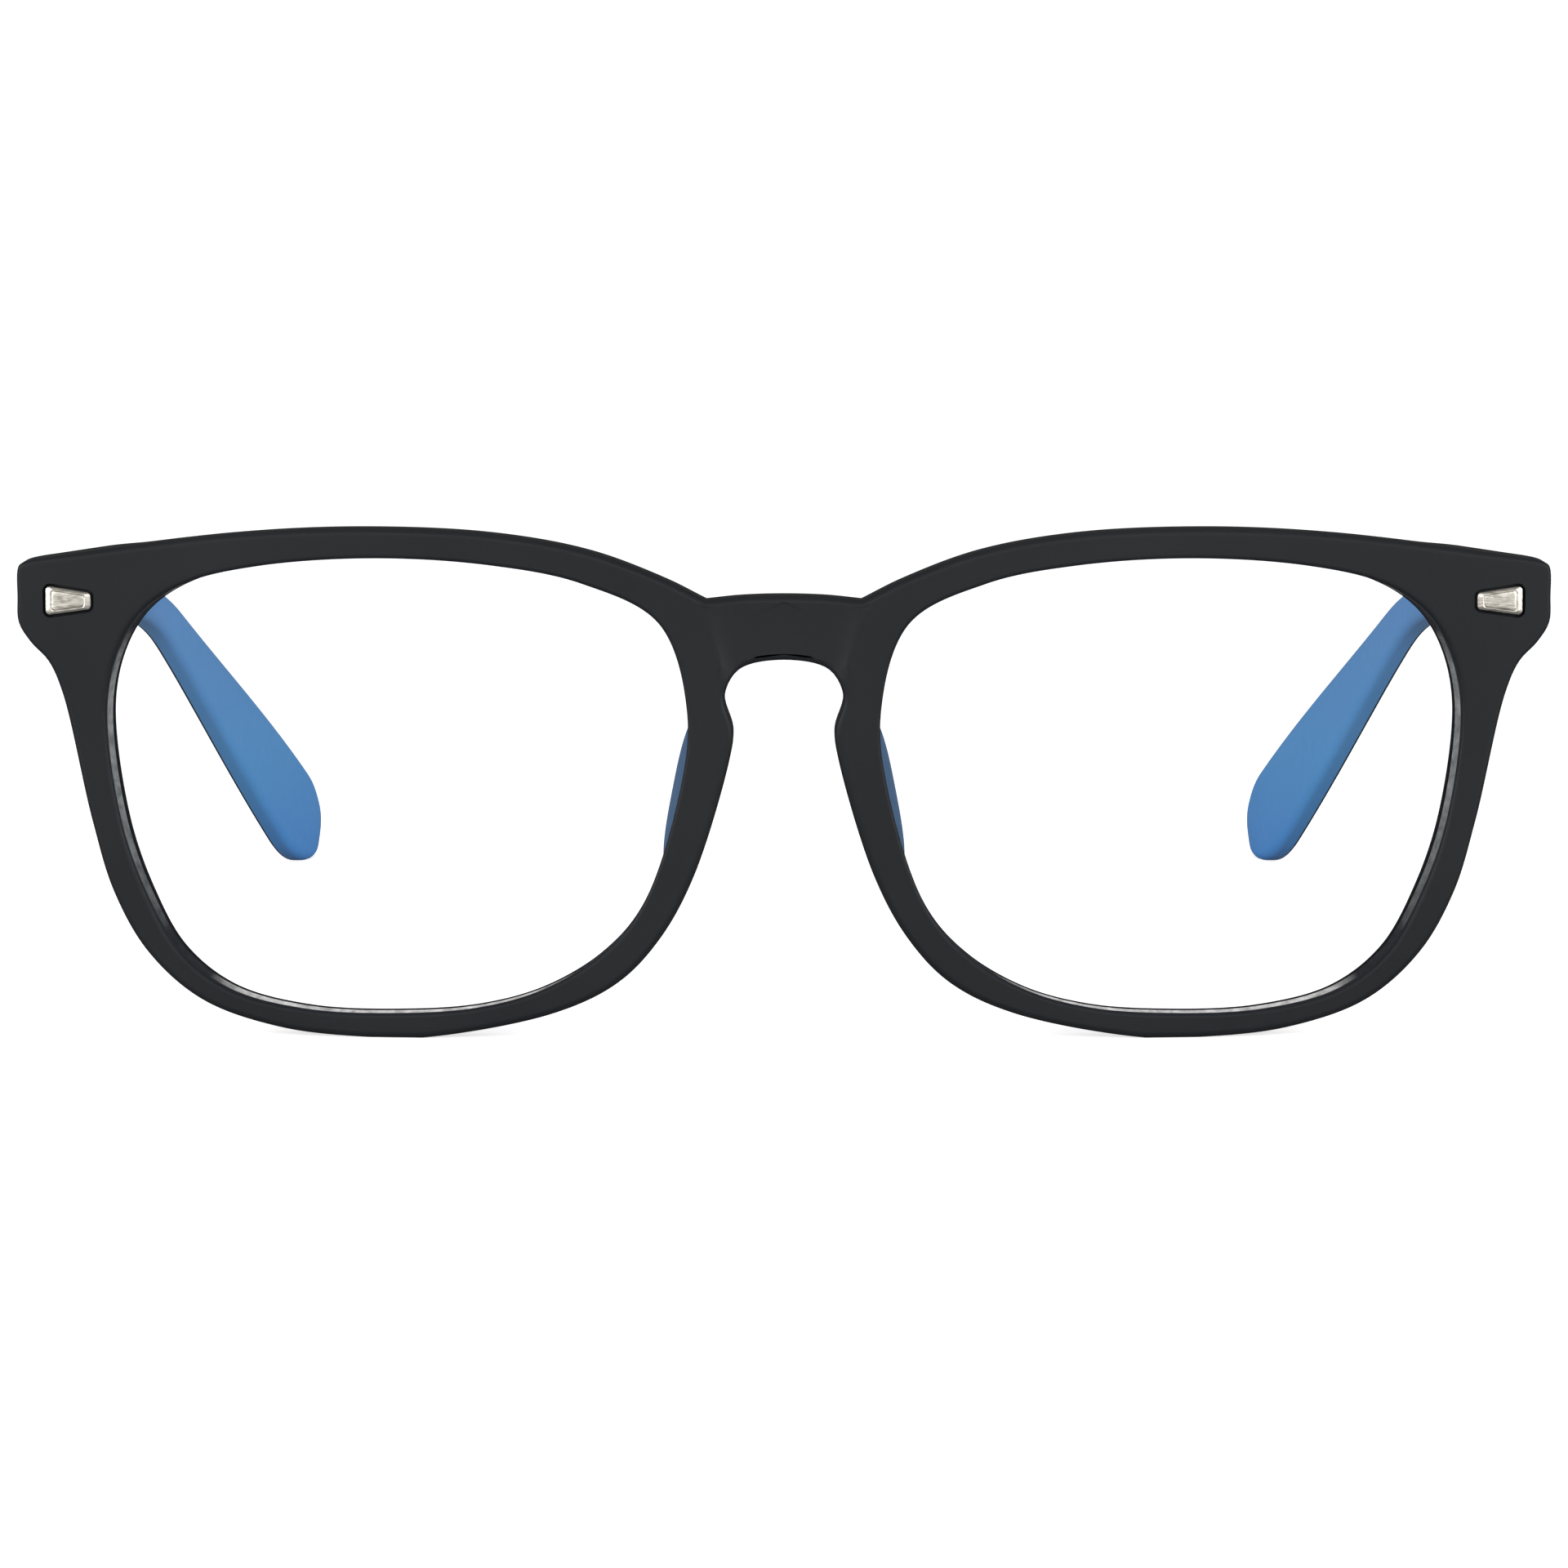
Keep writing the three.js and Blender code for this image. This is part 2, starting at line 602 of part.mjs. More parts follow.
function front() {
  const [ax0, ay0, az0, ax1, , az1] = ANCHOR;
  const pockets = [
    ...plaquePocket(),
    padKey(0.08),
    box(ax0 - 0.1, ay0 - 0.1, az0 - 0.1, ax1 + 0.1, LUG_BACK + 1, az1 + 0.1),
  ];
  return toGeometry(cut(toSolid(frontBlank()), belowTable(), ...pockets, ...pockets.map(mirrorX)));
}

// ---------- Assembly ----------
function named(name, geometry, material) {
  const mesh = new THREE.Mesh(geometry, material);
  mesh.name = name;
  return mesh;
}

// The pieces of one side, modelled on the wearer's left; the other side is its mirror image.
function sidePieces(side) {
  return [
    named(`lens_${side}`, lens(), clear),
    named(`nose_pad_${side}`, nosePad(), padBlue),
    named(`plaque_${side}`, plaque(), silver),
    named(`front_hinge_leaf_${side}`, frontLeaf(), steel),
    named(`hinge_screw_${side}`, hingeScrew(), steel),
    named(`temple_hinge_leaf_${side}`, templeLeaf(), steel),
    named(`leaf_screw_front_${side}`, leafScrew(LEAF_SCREWS[0]), steel),
    named(`leaf_screw_rear_${side}`, leafScrew(LEAF_SCREWS[1]), steel),
    named(`temple_inner_${side}`, templeInner(), matteBlue),
    named(`temple_outer_${side}`, templeOuter(), matteBlack),
  ];
}

const spectacles = new THREE.Group();
spectacles.add(named("front_frame", front(), matteBlack));
spectacles.add(...sidePieces("left"));
const right = new THREE.Group();
right.scale.x = -1;
right.add(...sidePieces("right"));
spectacles.add(right);
spectacles.position.set(0, -BRIDGE_SET_BACK, -BRIDGE_HEIGHT);

export default spectacles;
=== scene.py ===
"""Blue light glasses: the fine surfaces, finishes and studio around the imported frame.

Shapes are worked out in millimetres with z = 0 on the table, as an optician would measure them, and
become metres in the frame's own axes when a mesh is made. Every piece is built on the wearer's left
(x above 0) and mirrored for the right.
"""

import math

import bmesh
import bpy
import numpy as np
from mathutils import Matrix, Vector


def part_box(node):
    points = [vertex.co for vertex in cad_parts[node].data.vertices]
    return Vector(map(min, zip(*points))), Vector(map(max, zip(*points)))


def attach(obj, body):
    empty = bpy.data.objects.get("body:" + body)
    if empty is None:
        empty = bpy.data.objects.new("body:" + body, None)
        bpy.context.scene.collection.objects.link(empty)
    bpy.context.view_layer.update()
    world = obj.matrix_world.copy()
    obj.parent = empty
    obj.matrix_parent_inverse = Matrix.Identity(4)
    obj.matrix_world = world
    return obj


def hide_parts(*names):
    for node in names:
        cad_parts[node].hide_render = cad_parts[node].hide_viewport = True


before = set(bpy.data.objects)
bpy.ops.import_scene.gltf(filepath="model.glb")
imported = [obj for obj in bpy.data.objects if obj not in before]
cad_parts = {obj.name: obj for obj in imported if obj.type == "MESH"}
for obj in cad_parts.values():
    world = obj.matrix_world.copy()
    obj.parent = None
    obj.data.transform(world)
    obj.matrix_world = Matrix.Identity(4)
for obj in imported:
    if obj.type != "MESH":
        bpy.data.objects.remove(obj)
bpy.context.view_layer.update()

# ---------- Driving dimensions, millimetres ----------
MM = 0.001
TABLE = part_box("front_frame")[0].z  # metres: the height of the table in the frame
BOW_RADIUS = 400.0
RIM_DEPTH = 4.2
BRIDGE_FLAT = 3.0  # half the width of the flat in the bridge's middle
BRIDGE_SET_BACK = 0.7  # how far the bridge's middle lies behind the rims beside it
BRIDGE_CREASE = (6.3, 36.6, 0.26)  # x and z of the line where a rim begins, and its slant
HOLLOW_FADE = (31.4, 34.4)  # heights over which the bridge's hollow sets in above the keyhole
BRIDGE_SWELL = 0.8  # extra depth of the bridge at its back
SWELL_REACH = 9.0  # x where that extra depth has run out
LUG_BACK = 11.0  # the flat back face of the end pieces
LUG_FROM_OPENING = (0.9, 3.4)  # the back face deepens to it over these distances from the lens opening,
LUG_X = (59, 63.5)  # over these places across
LUG_Z = (32, 37)  # and over these heights

# The outer edge of the left half, clockwise from the bridge's top as seen from the front: x, z.
OUTER_EDGE = np.array(
    [
        (0, 41.5),  # bridge
        (4, 41.4),
        (7.2, 41.1),
        (11, 43),  # brow
        (18, 45.6),
        (27, 47.2),
        (39, 47.7),
        (51, 47.1),
        (67, 45),
        (71.2, 44.2),  # end piece
        (71.6, 43.8),
        (71.7, 41),
        (71.6, 38.6),
        (70.5, 36.8),
        (68.8, 35),
        (67.5, 32),  # outer side
        (64.8, 20),
        (62.8, 13.3),
        (59.6, 7.7),
        (54.5, 3.3),
        (47, 0.8),  # bottom
        (38.8, 0),
        (33.8, 0),
        (21.5, 2.4),
        (15.5, 5.3),
        (11.6, 9.4),  # nose side
        (8.4, 15.3),
        (5, 26.5),
        (4.7, 29),  # keyhole
        (5.5, 32.2),
        (4.2, 34.6),
        (0, 35.5),
    ],
    float,
)
NOTCH = 2  # place in OUTER_EDGE of the sharp corner between bridge and brow

# The lens opening, a smooth loop the same way round: x, z, the place in OUTER_EDGE that it lies across from.
OPENING = np.array(
    [
        (11.6, 38.9, 2),
        (18.7, 42.6, 4),
        (27.3, 44.3, 5),
        (38.3, 44.9, 6),
        (49, 44.1, 7),
        (55.7, 42.5, 7.6),
        (59.7, 40, 9),
        (62.1, 36.5, 12),
        (63.4, 31, 15),
        (62.2, 20.4, 16),
        (59.9, 13.5, 17),
        (56.8, 8, 18),
        (52.1, 4.4, 19),
        (45, 2.6, 20),
        (36, 2.3, 21.5),
        (28.6, 2.9, 22.4),
        (22.6, 4.6, 23),
        (17.1, 7.9, 24),
        (13.4, 12.2, 25),
        (10, 22, 26.5),
        (9, 30.5, 28.5),
    ]
)
COLUMN_PITCH = 0.55  # longest step between two cross-sections of a rim

# Rounded edges of a rim; where there are two radii, the second is for the end piece's corners.
FRONT_OUTER_RADII = (0.6, 0.4)
BACK_OUTER_RADII = (0.8, 0.45)
FRONT_INNER_RADIUS, BACK_INNER_RADIUS = 0.35, 0.5
CORNER_X = (64, 70.5)  # places over which the radii change
FILLET_STEPS = 6
FRONT_ROWS, BACK_ROWS = 40, 16  # rows of points over the front and back faces

LENS_CENTRE = np.array([35.9, 23.8])
LENS_RADIUS = 175.0  # surface curvature
LENS_APEX = 2.0  # middle of the lens, behind the bridge's front face
LENS_THICKNESS = 2.0
LENS_BEVEL = 0.6  # how far the lens's edge stands into the rim
LENS_TUCK = 0.06  # how far its clear faces do
LENS_RINGS = 18
GROOVE_DEPTH = 0.95
GROOVE_HALF = 1.25


# ---------- Small helpers ----------
def smooth(x, start, end):
    t = np.clip((np.asarray(x, float) - start) / (end - start), 0, 1)
    return t * t * (3 - 2 * t)


def lerp(a, b, t):
    return a + (b - a) * t


def bow(x):
    return np.maximum(0, np.abs(np.asarray(x, float)) - BRIDGE_FLAT) ** 2 / (2 * BOW_RADIUS)


def metres(points):
    """Millimetres behind the rims' front faces and above the table, to metres in the frame."""
    return np.asarray(points, float) * MM + np.array([0, -BRIDGE_SET_BACK * MM, TABLE])


def mesh_object(name, points, faces, material, sharp=None):
    """A smooth-shaded piece from points in millimetres; edges sharper than `sharp` degrees stay crisp."""
    mesh = bpy.data.meshes.new(name)
    mesh.from_pydata(metres(points).tolist(), [], [list(map(int, f)) for f in faces])
    mesh.validate()
    piece = bpy.data.objects.new(name, mesh)
    bpy.context.scene.collection.objects.link(piece)
    weld_and_face_out(mesh)
    mesh.materials.append(material)
    mesh.shade_smooth()
    if sharp:
        mesh.set_sharp_from_angle(angle=math.radians(sharp))
    return piece


def weld_and_face_out(mesh):
    bm = bmesh.new()
    bm.from_mesh(mesh)
    bmesh.ops.remove_doubles(bm, verts=bm.verts, dist=1e-7)
    bmesh.ops.recalc_face_normals(bm, faces=bm.faces)
    bm.to_mesh(mesh)
    bm.free()


def grid_faces(rows, columns, wrap_rows=False, wrap_columns=False):
    """Quads over a grid of points numbered row by row."""
    i = np.arange(rows if wrap_rows else rows - 1)
    j = np.arange(columns if wrap_columns else columns - 1)
    ii, jj = np.meshgrid(i, j, indexing="ij")
    down, right = (ii + 1) % rows, (jj + 1) % columns
    corners = [ii * columns + jj, ii * columns + right, down * columns + right, down * columns + jj]
    return np.stack(corners, -1).reshape(-1, 4)


def end_fans(rows, count):
    """Triangles that close a grid's first and last rings; the two middle points follow the grid's."""
    fans = []
    for j in range(count):
        k = (j + 1) % count
        fans.append([rows * count, k, j])
        fans.append([rows * count + 1, (rows - 1) * count + j, (rows - 1) * count + k])
    return fans


def apply_modifiers(piece):
    """Bakes a piece's modifiers into its mesh."""
    graph = bpy.context.evaluated_depsgraph_get()
    mesh = bpy.data.meshes.new_from_object(piece.evaluated_get(graph), depsgraph=graph)
    piece.modifiers.clear()
    piece.data = mesh
    return piece


def combine(operation, piece, others):
    """Joins the others to the piece or cuts them from it, and deletes them."""
    for other in others:
        change = piece.modifiers.new("combine", "BOOLEAN")
        change.operation = operation
        change.solver = "MANIFOLD"
        change.object = other
    bpy.context.view_layer.update()
    apply_modifiers(piece)
    for other in others:
        bpy.data.objects.remove(other)
    return piece


def cut(piece, *tools):
    return combine("DIFFERENCE", piece, tools)


def union(piece, *others):
    return combine("UNION", piece, others)


def mirrored(piece, name):
    """The same piece on the other side of x = 0."""
    mesh = piece.data.copy()
    mesh.transform(Matrix.Scale(-1, 4, (1, 0, 0)))
    mesh.flip_normals()
    copy = bpy.data.objects.new(name, mesh)
    bpy.context.scene.collection.objects.link(copy)
    return copy


def crisp(piece, degrees=30):
    piece.data.shade_smooth()
    piece.data.set_sharp_from_angle(angle=math.radians(degrees))
    return piece


def place_pair(piece, base, body):
    """Names the piece for the left and mirrors it for the right; each rides a body for its CAD node."""
    piece.name = base + "_left_skin"
    other = mirrored(piece, base + "_right_skin")
    for side, shown in (("left", piece), ("right", other)):
        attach(shown, body if body == "front" else f"{body}_{side}")
        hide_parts(f"{base}_{side}")
    return piece, other


# ---------- Materials ----------
def material(name):
    """A new node material, its nodes and its Principled shader."""
    made = bpy.data.materials.new(name)
    made.use_nodes = True
    return made, made.node_tree, made.node_tree.nodes["Principled BSDF"]


def add(tree, kind, **inputs):
    """A node with the named inputs set; a name that is a property of the node is set as one."""
    node = tree.nodes.new(kind)
    for key, value in inputs.items():
        if hasattr(node, key):
            setattr(node, key, value)
        else:
            node.inputs[key.replace("_", " ")].default_value = value
    return node


def noise(tree, scale, detail=4.0):
    """A noise pattern fixed to the frame, with `scale` in bumps per millimetre."""
    where = tree.nodes.new("ShaderNodeTexCoord")
    made = add(tree, "ShaderNodeTexNoise", Scale=scale / MM, Detail=detail)
    tree.links.new(where.outputs["Object"], made.inputs["Vector"])
    return made


def ramp(tree, source, stops):
    """Colours or grey levels along a value: stops are (position, (r, g, b))."""
    made = tree.nodes.new("ShaderNodeValToRGB")
    elements = made.color_ramp.elements
    while len(elements) < len(stops):
        elements.new(0.5)
    for element, (position, colour) in zip(elements, stops):
        element.position = position
        element.color = (*colour, 1)
    tree.links.new(source, made.inputs["Fac"])
    return made.outputs["Color"]


def grain(tree, shader, scale, strength, distance):
    """A fine bump in the surface, its depth in millimetres."""
    bump = add(tree, "ShaderNodeBump", Strength=strength, Distance=distance * MM)
    tree.links.new(noise(tree, scale, 3.0).outputs["Fac"], bump.inputs["Height"])
    tree.links.new(bump.outputs["Normal"], shader.inputs["Normal"])


def grey(level):
    return (level, level, level)


def mottled_gloss(tree, shader, smoothest, roughest):
    levels = [(0.25, grey(smoothest)), (0.75, grey(roughest))]
    tree.links.new(ramp(tree, noise(tree, 0.8, 5.0).outputs["Fac"], levels), shader.inputs["Roughness"])


def moulded_plastic(name, dark, light, rough, shine, grain_depth):
    """Satin injection-moulded plastic: slow colour drift, mottled gloss and a fine spark-eroded grain."""
    made, tree, shader = material(name)
    drift = noise(tree, 0.05, 2.0)
    tree.links.new(ramp(tree, drift.outputs["Fac"], [(0.3, dark), (0.7, light)]), shader.inputs["Base Color"])
    mottled_gloss(tree, shader, rough - 0.04, rough + 0.05)
    shader.inputs["Specular IOR Level"].default_value = shine
    grain(tree, shader, PLASTIC_GRAIN, 0.35, grain_depth)
    return made


PLASTIC_GRAIN = 9.0  # bumps per millimetre
TIP_HEIGHT, BUTT_HEIGHT = -0.038, 0.006  # metres in the frame, the ends of the temples' change of colour
TEMPLE_BLUES = [(0.05, (0.068, 0.28, 0.69)), (0.4, (0.098, 0.34, 0.71)), (0.95, (0.137, 0.313, 0.64))]


def temple_blue():
    """Satin blue plastic, deeper towards the tip, with a fine grain."""
    made, tree, shader = material("temple_blue")
    where = tree.nodes.new("ShaderNodeTexCoord")
    split = tree.nodes.new("ShaderNodeSeparateXYZ")
    tree.links.new(where.outputs["Object"], split.inputs["Vector"])
    height = add(tree, "ShaderNodeMapRange")
    height.inputs["From Min"].default_value = TIP_HEIGHT
    height.inputs["From Max"].default_value = BUTT_HEIGHT
    tree.links.new(split.outputs["Z"], height.inputs["Value"])
    mix = add(tree, "ShaderNodeMath", operation="ADD")
    drift = add(tree, "ShaderNodeMath", operation="MULTIPLY")
    drift.inputs[1].default_value = 0.16
    tree.links.new(noise(tree, 0.08, 2.0).outputs["Fac"], drift.inputs[0])
    tree.links.new(height.outputs["Result"], mix.inputs[0])
    tree.links.new(drift.outputs["Value"], mix.inputs[1])
    tree.links.new(ramp(tree, mix.outputs["Value"], TEMPLE_BLUES), shader.inputs["Base Color"])
    mottled_gloss(tree, shader, 0.42, 0.5)
    grain(tree, shader, PLASTIC_GRAIN, 0.3, 0.012)
    return made


def metal(name, dark, light, rough, stretch):
    """Metal with fine polishing marks, drawn out along the axis whose `stretch` is smallest."""
    made, tree, shader = material(name)
    shader.inputs["Metallic"].default_value = 1.0
    where = tree.nodes.new("ShaderNodeTexCoord")
    drawn = add(tree, "ShaderNodeMapping")
    drawn.inputs["Scale"].default_value = stretch
    marks = add(tree, "ShaderNodeTexNoise", Scale=6.0 / MM, Detail=6.0)
    tree.links.new(where.outputs["Object"], drawn.inputs["Vector"])
    tree.links.new(drawn.outputs["Vector"], marks.inputs["Vector"])
    tree.links.new(ramp(tree, marks.outputs["Fac"], [(0.3, dark), (0.7, light)]), shader.inputs["Base Color"])
    levels = [(0.3, grey(rough - 0.05)), (0.7, grey(rough + 0.07))]
    tree.links.new(ramp(tree, marks.outputs["Fac"], levels), shader.inputs["Roughness"])
    bump = add(tree, "ShaderNodeBump", Strength=0.25, Distance=0.01 * MM)
    tree.links.new(marks.outputs["Fac"], bump.inputs["Height"])
    tree.links.new(bump.outputs["Normal"], shader.inputs["Normal"])
    return made


def lens_clear():
    """A clear lens: light passes straight through, and a coating gives a faint blue-violet reflection."""
    made, tree, shader = material("lens_clear")
    tree.nodes.remove(shader)
    through = add(tree, "ShaderNodeBsdfTransparent", Color=(0.995, 0.998, 1.0, 1))
    blues = [(0.3, (0.5, 0.6, 1.0)), (0.7, (0.7, 0.68, 0.95))]
    tint = ramp(tree, noise(tree, 0.03, 1.0).outputs["Fac"], blues)
    shine = add(tree, "ShaderNodeBsdfGlossy", Roughness=0.03)
    tree.links.new(tint, shine.inputs["Color"])
    edge = add(tree, "ShaderNodeFresnel", IOR=1.12)
    mix = tree.nodes.new("ShaderNodeMixShader")
    tree.links.new(edge.outputs["Fac"], mix.inputs["Fac"])
    tree.links.new(through.outputs["BSDF"], mix.inputs[1])
    tree.links.new(shine.outputs["BSDF"], mix.inputs[2])
    tree.links.new(mix.outputs["Shader"], tree.nodes["Material Output"].inputs["Surface"])
    return made


def lens_bevel():
    """The ground edge of a lens: frosted, with painted light in its colour and a glow.

    The painted light is brightest where the edge runs level or upright, most of all along the bottom and the
    top, and painted shade makes the edge dark at the lens's corners.
    """
    made, tree, shader = material("lens_bevel")
    surface = tree.nodes.new("ShaderNodeNewGeometry")
    in_plane = add(tree, "ShaderNodeVectorMath", operation="MULTIPLY")
    in_plane.inputs[1].default_value = (1, 0, 1)
    unit = add(tree, "ShaderNodeVectorMath", operation="NORMALIZE")
    split = tree.nodes.new("ShaderNodeSeparateXYZ")
    tree.links.new(surface.outputs["Normal"], in_plane.inputs[0])
    tree.links.new(in_plane.outputs["Vector"], unit.inputs[0])
    tree.links.new(unit.outputs["Vector"], split.inputs["Vector"])
    level = add(tree, "ShaderNodeMath", operation="POWER")  # 1 along the bottom and top, 0 along the sides
    level.inputs[1].default_value = 2
    tree.links.new(split.outputs["Z"], level.inputs[0])
    # Painted light and shade: the colour and glow are lightest along the bottom and top, light along the
    # sides and dark at the corners.
    dark = (0.02, 0.021, 0.02)
    painted_light_stops = [(0.0, (0.3, 0.31, 0.28)), (0.3, dark), (0.72, dark), (0.92, (0.62, 0.6, 0.54))]
    light = ramp(tree, level.outputs["Value"], painted_light_stops)
    frost = ramp(tree, noise(tree, 1.2, 6.0).outputs["Fac"], [(0.3, grey(0.45)), (0.7, grey(1.0))])
    colour = add(tree, "ShaderNodeVectorMath", operation="MULTIPLY")
    tree.links.new(light, colour.inputs[0])
    tree.links.new(frost, colour.inputs[1])
    tree.links.new(colour.outputs["Vector"], shader.inputs["Base Color"])
    tree.links.new(colour.outputs["Vector"], shader.inputs["Emission Color"])
    # The painted light glows with the edge's colour.
    shader.inputs["Emission Strength"].default_value = 0.45
    shader.inputs["Roughness"].default_value = 0.5
    grain(tree, shader, 12.0, 0.5, 0.02)
    return made


FRAME_BLACK = moulded_plastic(
    "frame_black", (0.009, 0.0104, 0.0125), (0.012, 0.0134, 0.0155), 0.5, 0.16, 0.012
)
PAD_BLUE = moulded_plastic("pad_blue", (0.075, 0.15, 0.27), (0.095, 0.18, 0.31), 0.45, 0.3, 0.01)
TEMPLE_BLUE = temple_blue()
SILVER = metal("plaque_silver", (0.36, 0.34, 0.3), (0.7, 0.67, 0.6), 0.4, (0.12, 1, 1))
STEEL = metal("hinge_steel", (0.5, 0.51, 0.52), (0.62, 0.62, 0.63), 0.3, (1, 1, 0.2))
SCREW_STEEL = metal("screw_steel", (0.45, 0.46, 0.48), (0.58, 0.58, 0.6), 0.27, (1, 1, 0.4))
LENS_CLEAR = lens_clear()
LENS_EDGE = lens_bevel()


# ---------- The outlines of a rim ----------
def through(points, before, after, s):
    """Points at places s along a centripetal Catmull-Rom curve, with a guide point beyond each end."""
    guides = np.vstack([before, points, after])
    i = np.minimum(np.floor(s).astype(int), len(points) - 2)
    t = (s - i)[:, None]
    p0, p1, p2, p3 = (guides[i + k] for k in range(4))

    def span(a, b):
        return np.maximum(np.linalg.norm(b - a, axis=1)[:, None], 1e-6) ** 0.5

    d0, d1, d2 = span(p0, p1), span(p1, p2), span(p2, p3)
    m1 = ((p1 - p0) / d0 - (p2 - p0) / (d0 + d1) + (p2 - p1) / d1) * d1
    m2 = ((p2 - p1) / d1 - (p3 - p1) / (d1 + d2) + (p3 - p2) / d2) * d1
    return (
        (2 * t**3 - 3 * t**2 + 1) * p1
        + (t**3 - 2 * t**2 + t) * m1
        + (3 * t**2 - 2 * t**3) * p2
        + (t**3 - t**2) * m2
    )


def beyond(a, b):
    """The guide point that carries the line from b through a onwards."""
    return 2 * a - b


def outer_edge(s):
    """The outer edge at places s; past its last point it climbs the mirror plane to the bridge's top."""
    points = OUTER_EDGE
    last = len(points) - 1
    flip = np.array([-1, 1])
    top, rest = points[: NOTCH + 1], points[NOTCH:]
    made = np.empty((len(s), 2))
    on_top, on_rest, on_mirror = s <= NOTCH, (s > NOTCH) & (s <= last), s > last
    made[on_top] = through(top, top[1] * flip, beyond(top[-1], top[-2]), s[on_top])
    made[on_rest] = through(rest, beyond(rest[0], rest[1]), rest[-2] * flip, s[on_rest] - NOTCH)
    made[on_mirror] = lerp(points[-1], points[0], (s[on_mirror] - last)[:, None])
    made[:, 1] = np.maximum(made[:, 1], 0)  # flat where it stands on the table
    return made


def lens_edge(s):
    """The lens opening, a closed loop, where it lies across from places s of the outer edge."""
    points, crossings = OPENING[:, :2], OPENING[:, 2]
    turn = len(OUTER_EDGE)
    place = np.where(s < crossings[0], s + turn, s)
    t = np.interp(place, np.append(crossings, crossings[0] + turn), np.arange(len(points) + 1))
    return through(np.vstack([points, points[:1]]), points[-1], points[1], t)


def rim_columns():
    """Places round the rim, with the outer and inner points there and their normals into the rim."""
    turn = len(OUTER_EDGE)
    last = turn - 1
    ends = np.arange(turn + 1)
    spans = [np.linalg.norm(np.diff(edge(ends), axis=0), axis=1) for edge in (outer_edge, lens_edge)]
    counts = np.ceil(np.maximum(*spans) / COLUMN_PITCH).astype(int)
    s = np.concatenate([i + np.arange(n) / n for i, n in enumerate(counts)])
    outer, inner = outer_edge(s), lens_edge(s)
    step = 0.01

    def into(edge, low, high, sign):
        d = edge(np.minimum(s + step, high)) - edge(np.maximum(s - step, low))
        d /= np.linalg.norm(d, axis=1)[:, None]
        return sign * np.stack([d[:, 1], -d[:, 0]], 1)

    outer_in = into(outer_edge, 0, last, 1)
    inner_in = into(lens_edge, 0, turn, -1)
    outer_in[s > last] = 0
    outer_in[s == 0] = (0, -1)
    outer_in[s == last] = (0, 1)
    return {"outer": outer, "inner": inner, "outer_in": outer_in, "inner_in": inner_in, "gap": s >= last}


# ---------- Faces of the front, as depths over (x, z) ----------
def front_face(x, z):
    """The bridge is hollowed: its sides curve forward from a flat middle to a slanted crease at each rim."""
    crease_x, crease_z, slant = BRIDGE_CREASE
    crease = crease_x + slant * (z - crease_z)
    across = np.clip((x - BRIDGE_FLAT) / (crease - BRIDGE_FLAT), 0, 1)
    return bow(x) + BRIDGE_SET_BACK * (1 - across**2) * smooth(z, *HOLLOW_FADE)


def back_face(x, z, reach):
    """The back of the rims, deeper at the bridge and the end pieces; `reach` is from the lens opening."""
    rim = bow(x) + RIM_DEPTH + BRIDGE_SWELL * smooth(SWELL_REACH - x, 0, SWELL_REACH)
    lug = smooth(reach, *LUG_FROM_OPENING) * smooth(x, *LUG_X) * smooth(z, *LUG_Z)
    return lerp(rim, LUG_BACK, lug)


def lens_face(x, z):
    dx, dz = x - LENS_CENTRE[0], z - LENS_CENTRE[1]
    tilt = dx * (LENS_CENTRE[0] - BRIDGE_FLAT) / BOW_RADIUS
    return LENS_APEX + tilt + (dx**2 + dz**2) / (2 * LENS_RADIUS)


def fillet(edge, into, radius, face, towards, count, rising):
    """A rounded edge between a wall and a face: rows of points from wall to face, or back when not rising."""
    rows = []
    for a in np.linspace(0, math.pi / 2, count):
        inset, drop = radius * (1 - math.cos(a)), radius * (1 - math.sin(a))
        rows.append((edge + into * inset[:, None], face + towards * drop))
    return rows if rising else rows[::-1]


def rim_section(columns):
    """The closed cross-section at every column, from the groove's bottom round by the front face."""
    outer, inner = columns["outer"], columns["inner"]
    o_in, i_in = columns["outer_in"], columns["inner_in"]
    rows = []

    def across(inset_inner, inset_outer, u):
        a, b = inner + i_in * inset_inner[:, None], outer + o_in * inset_outer[:, None]
        return a + (b - a) * u

    def on_front(p):
        return front_face(p[:, 0], p[:, 1])

    def on_back(p):
        return back_face(p[:, 0], p[:, 1], np.linalg.norm(p - inner, axis=1))

    groove = lens_face(inner[:, 0], inner[:, 1])
    corner = smooth(outer[:, 0], *CORNER_X)
    front_out, back_out = lerp(*FRONT_OUTER_RADII, corner), lerp(*BACK_OUTER_RADII, corner)
    front_in = np.full(len(corner), FRONT_INNER_RADIUS)
    back_in = np.full(len(corner), BACK_INNER_RADIUS)
    rows.append((inner + i_in * GROOVE_DEPTH, groove))
    rows.append((inner, groove - GROOVE_HALF))
    face = on_front(across(front_in, front_out, 0))
    rows += fillet(inner, i_in, front_in, face, 1, FILLET_STEPS, True)
    for u in np.linspace(0, 1, FRONT_ROWS)[1:-1]:
        p = across(front_in, front_out, u)
        rows.append((p, on_front(p)))
    face = on_front(across(front_in, front_out, 1))
    rows += fillet(outer, o_in, front_out, face, 1, FILLET_STEPS, False)
    first_wall = len(rows) - 1
    face = on_back(across(back_in, back_out, 1))
    rows += fillet(outer, o_in, back_out, face, -1, FILLET_STEPS, True)
    for u in np.linspace(1, 0, BACK_ROWS)[1:-1]:
        p = across(back_in, back_out, u)
        rows.append((p, on_back(p)))
    face = on_back(across(back_in, back_out, 0))
    rows += fillet(inner, i_in, back_in, face, -1, FILLET_STEPS, False)
    rows.append((inner, groove + GROOVE_HALF))
    grid = np.stack([np.column_stack([p[:, 0], y, p[:, 1]]) for p, y in rows])
    return grid, first_wall


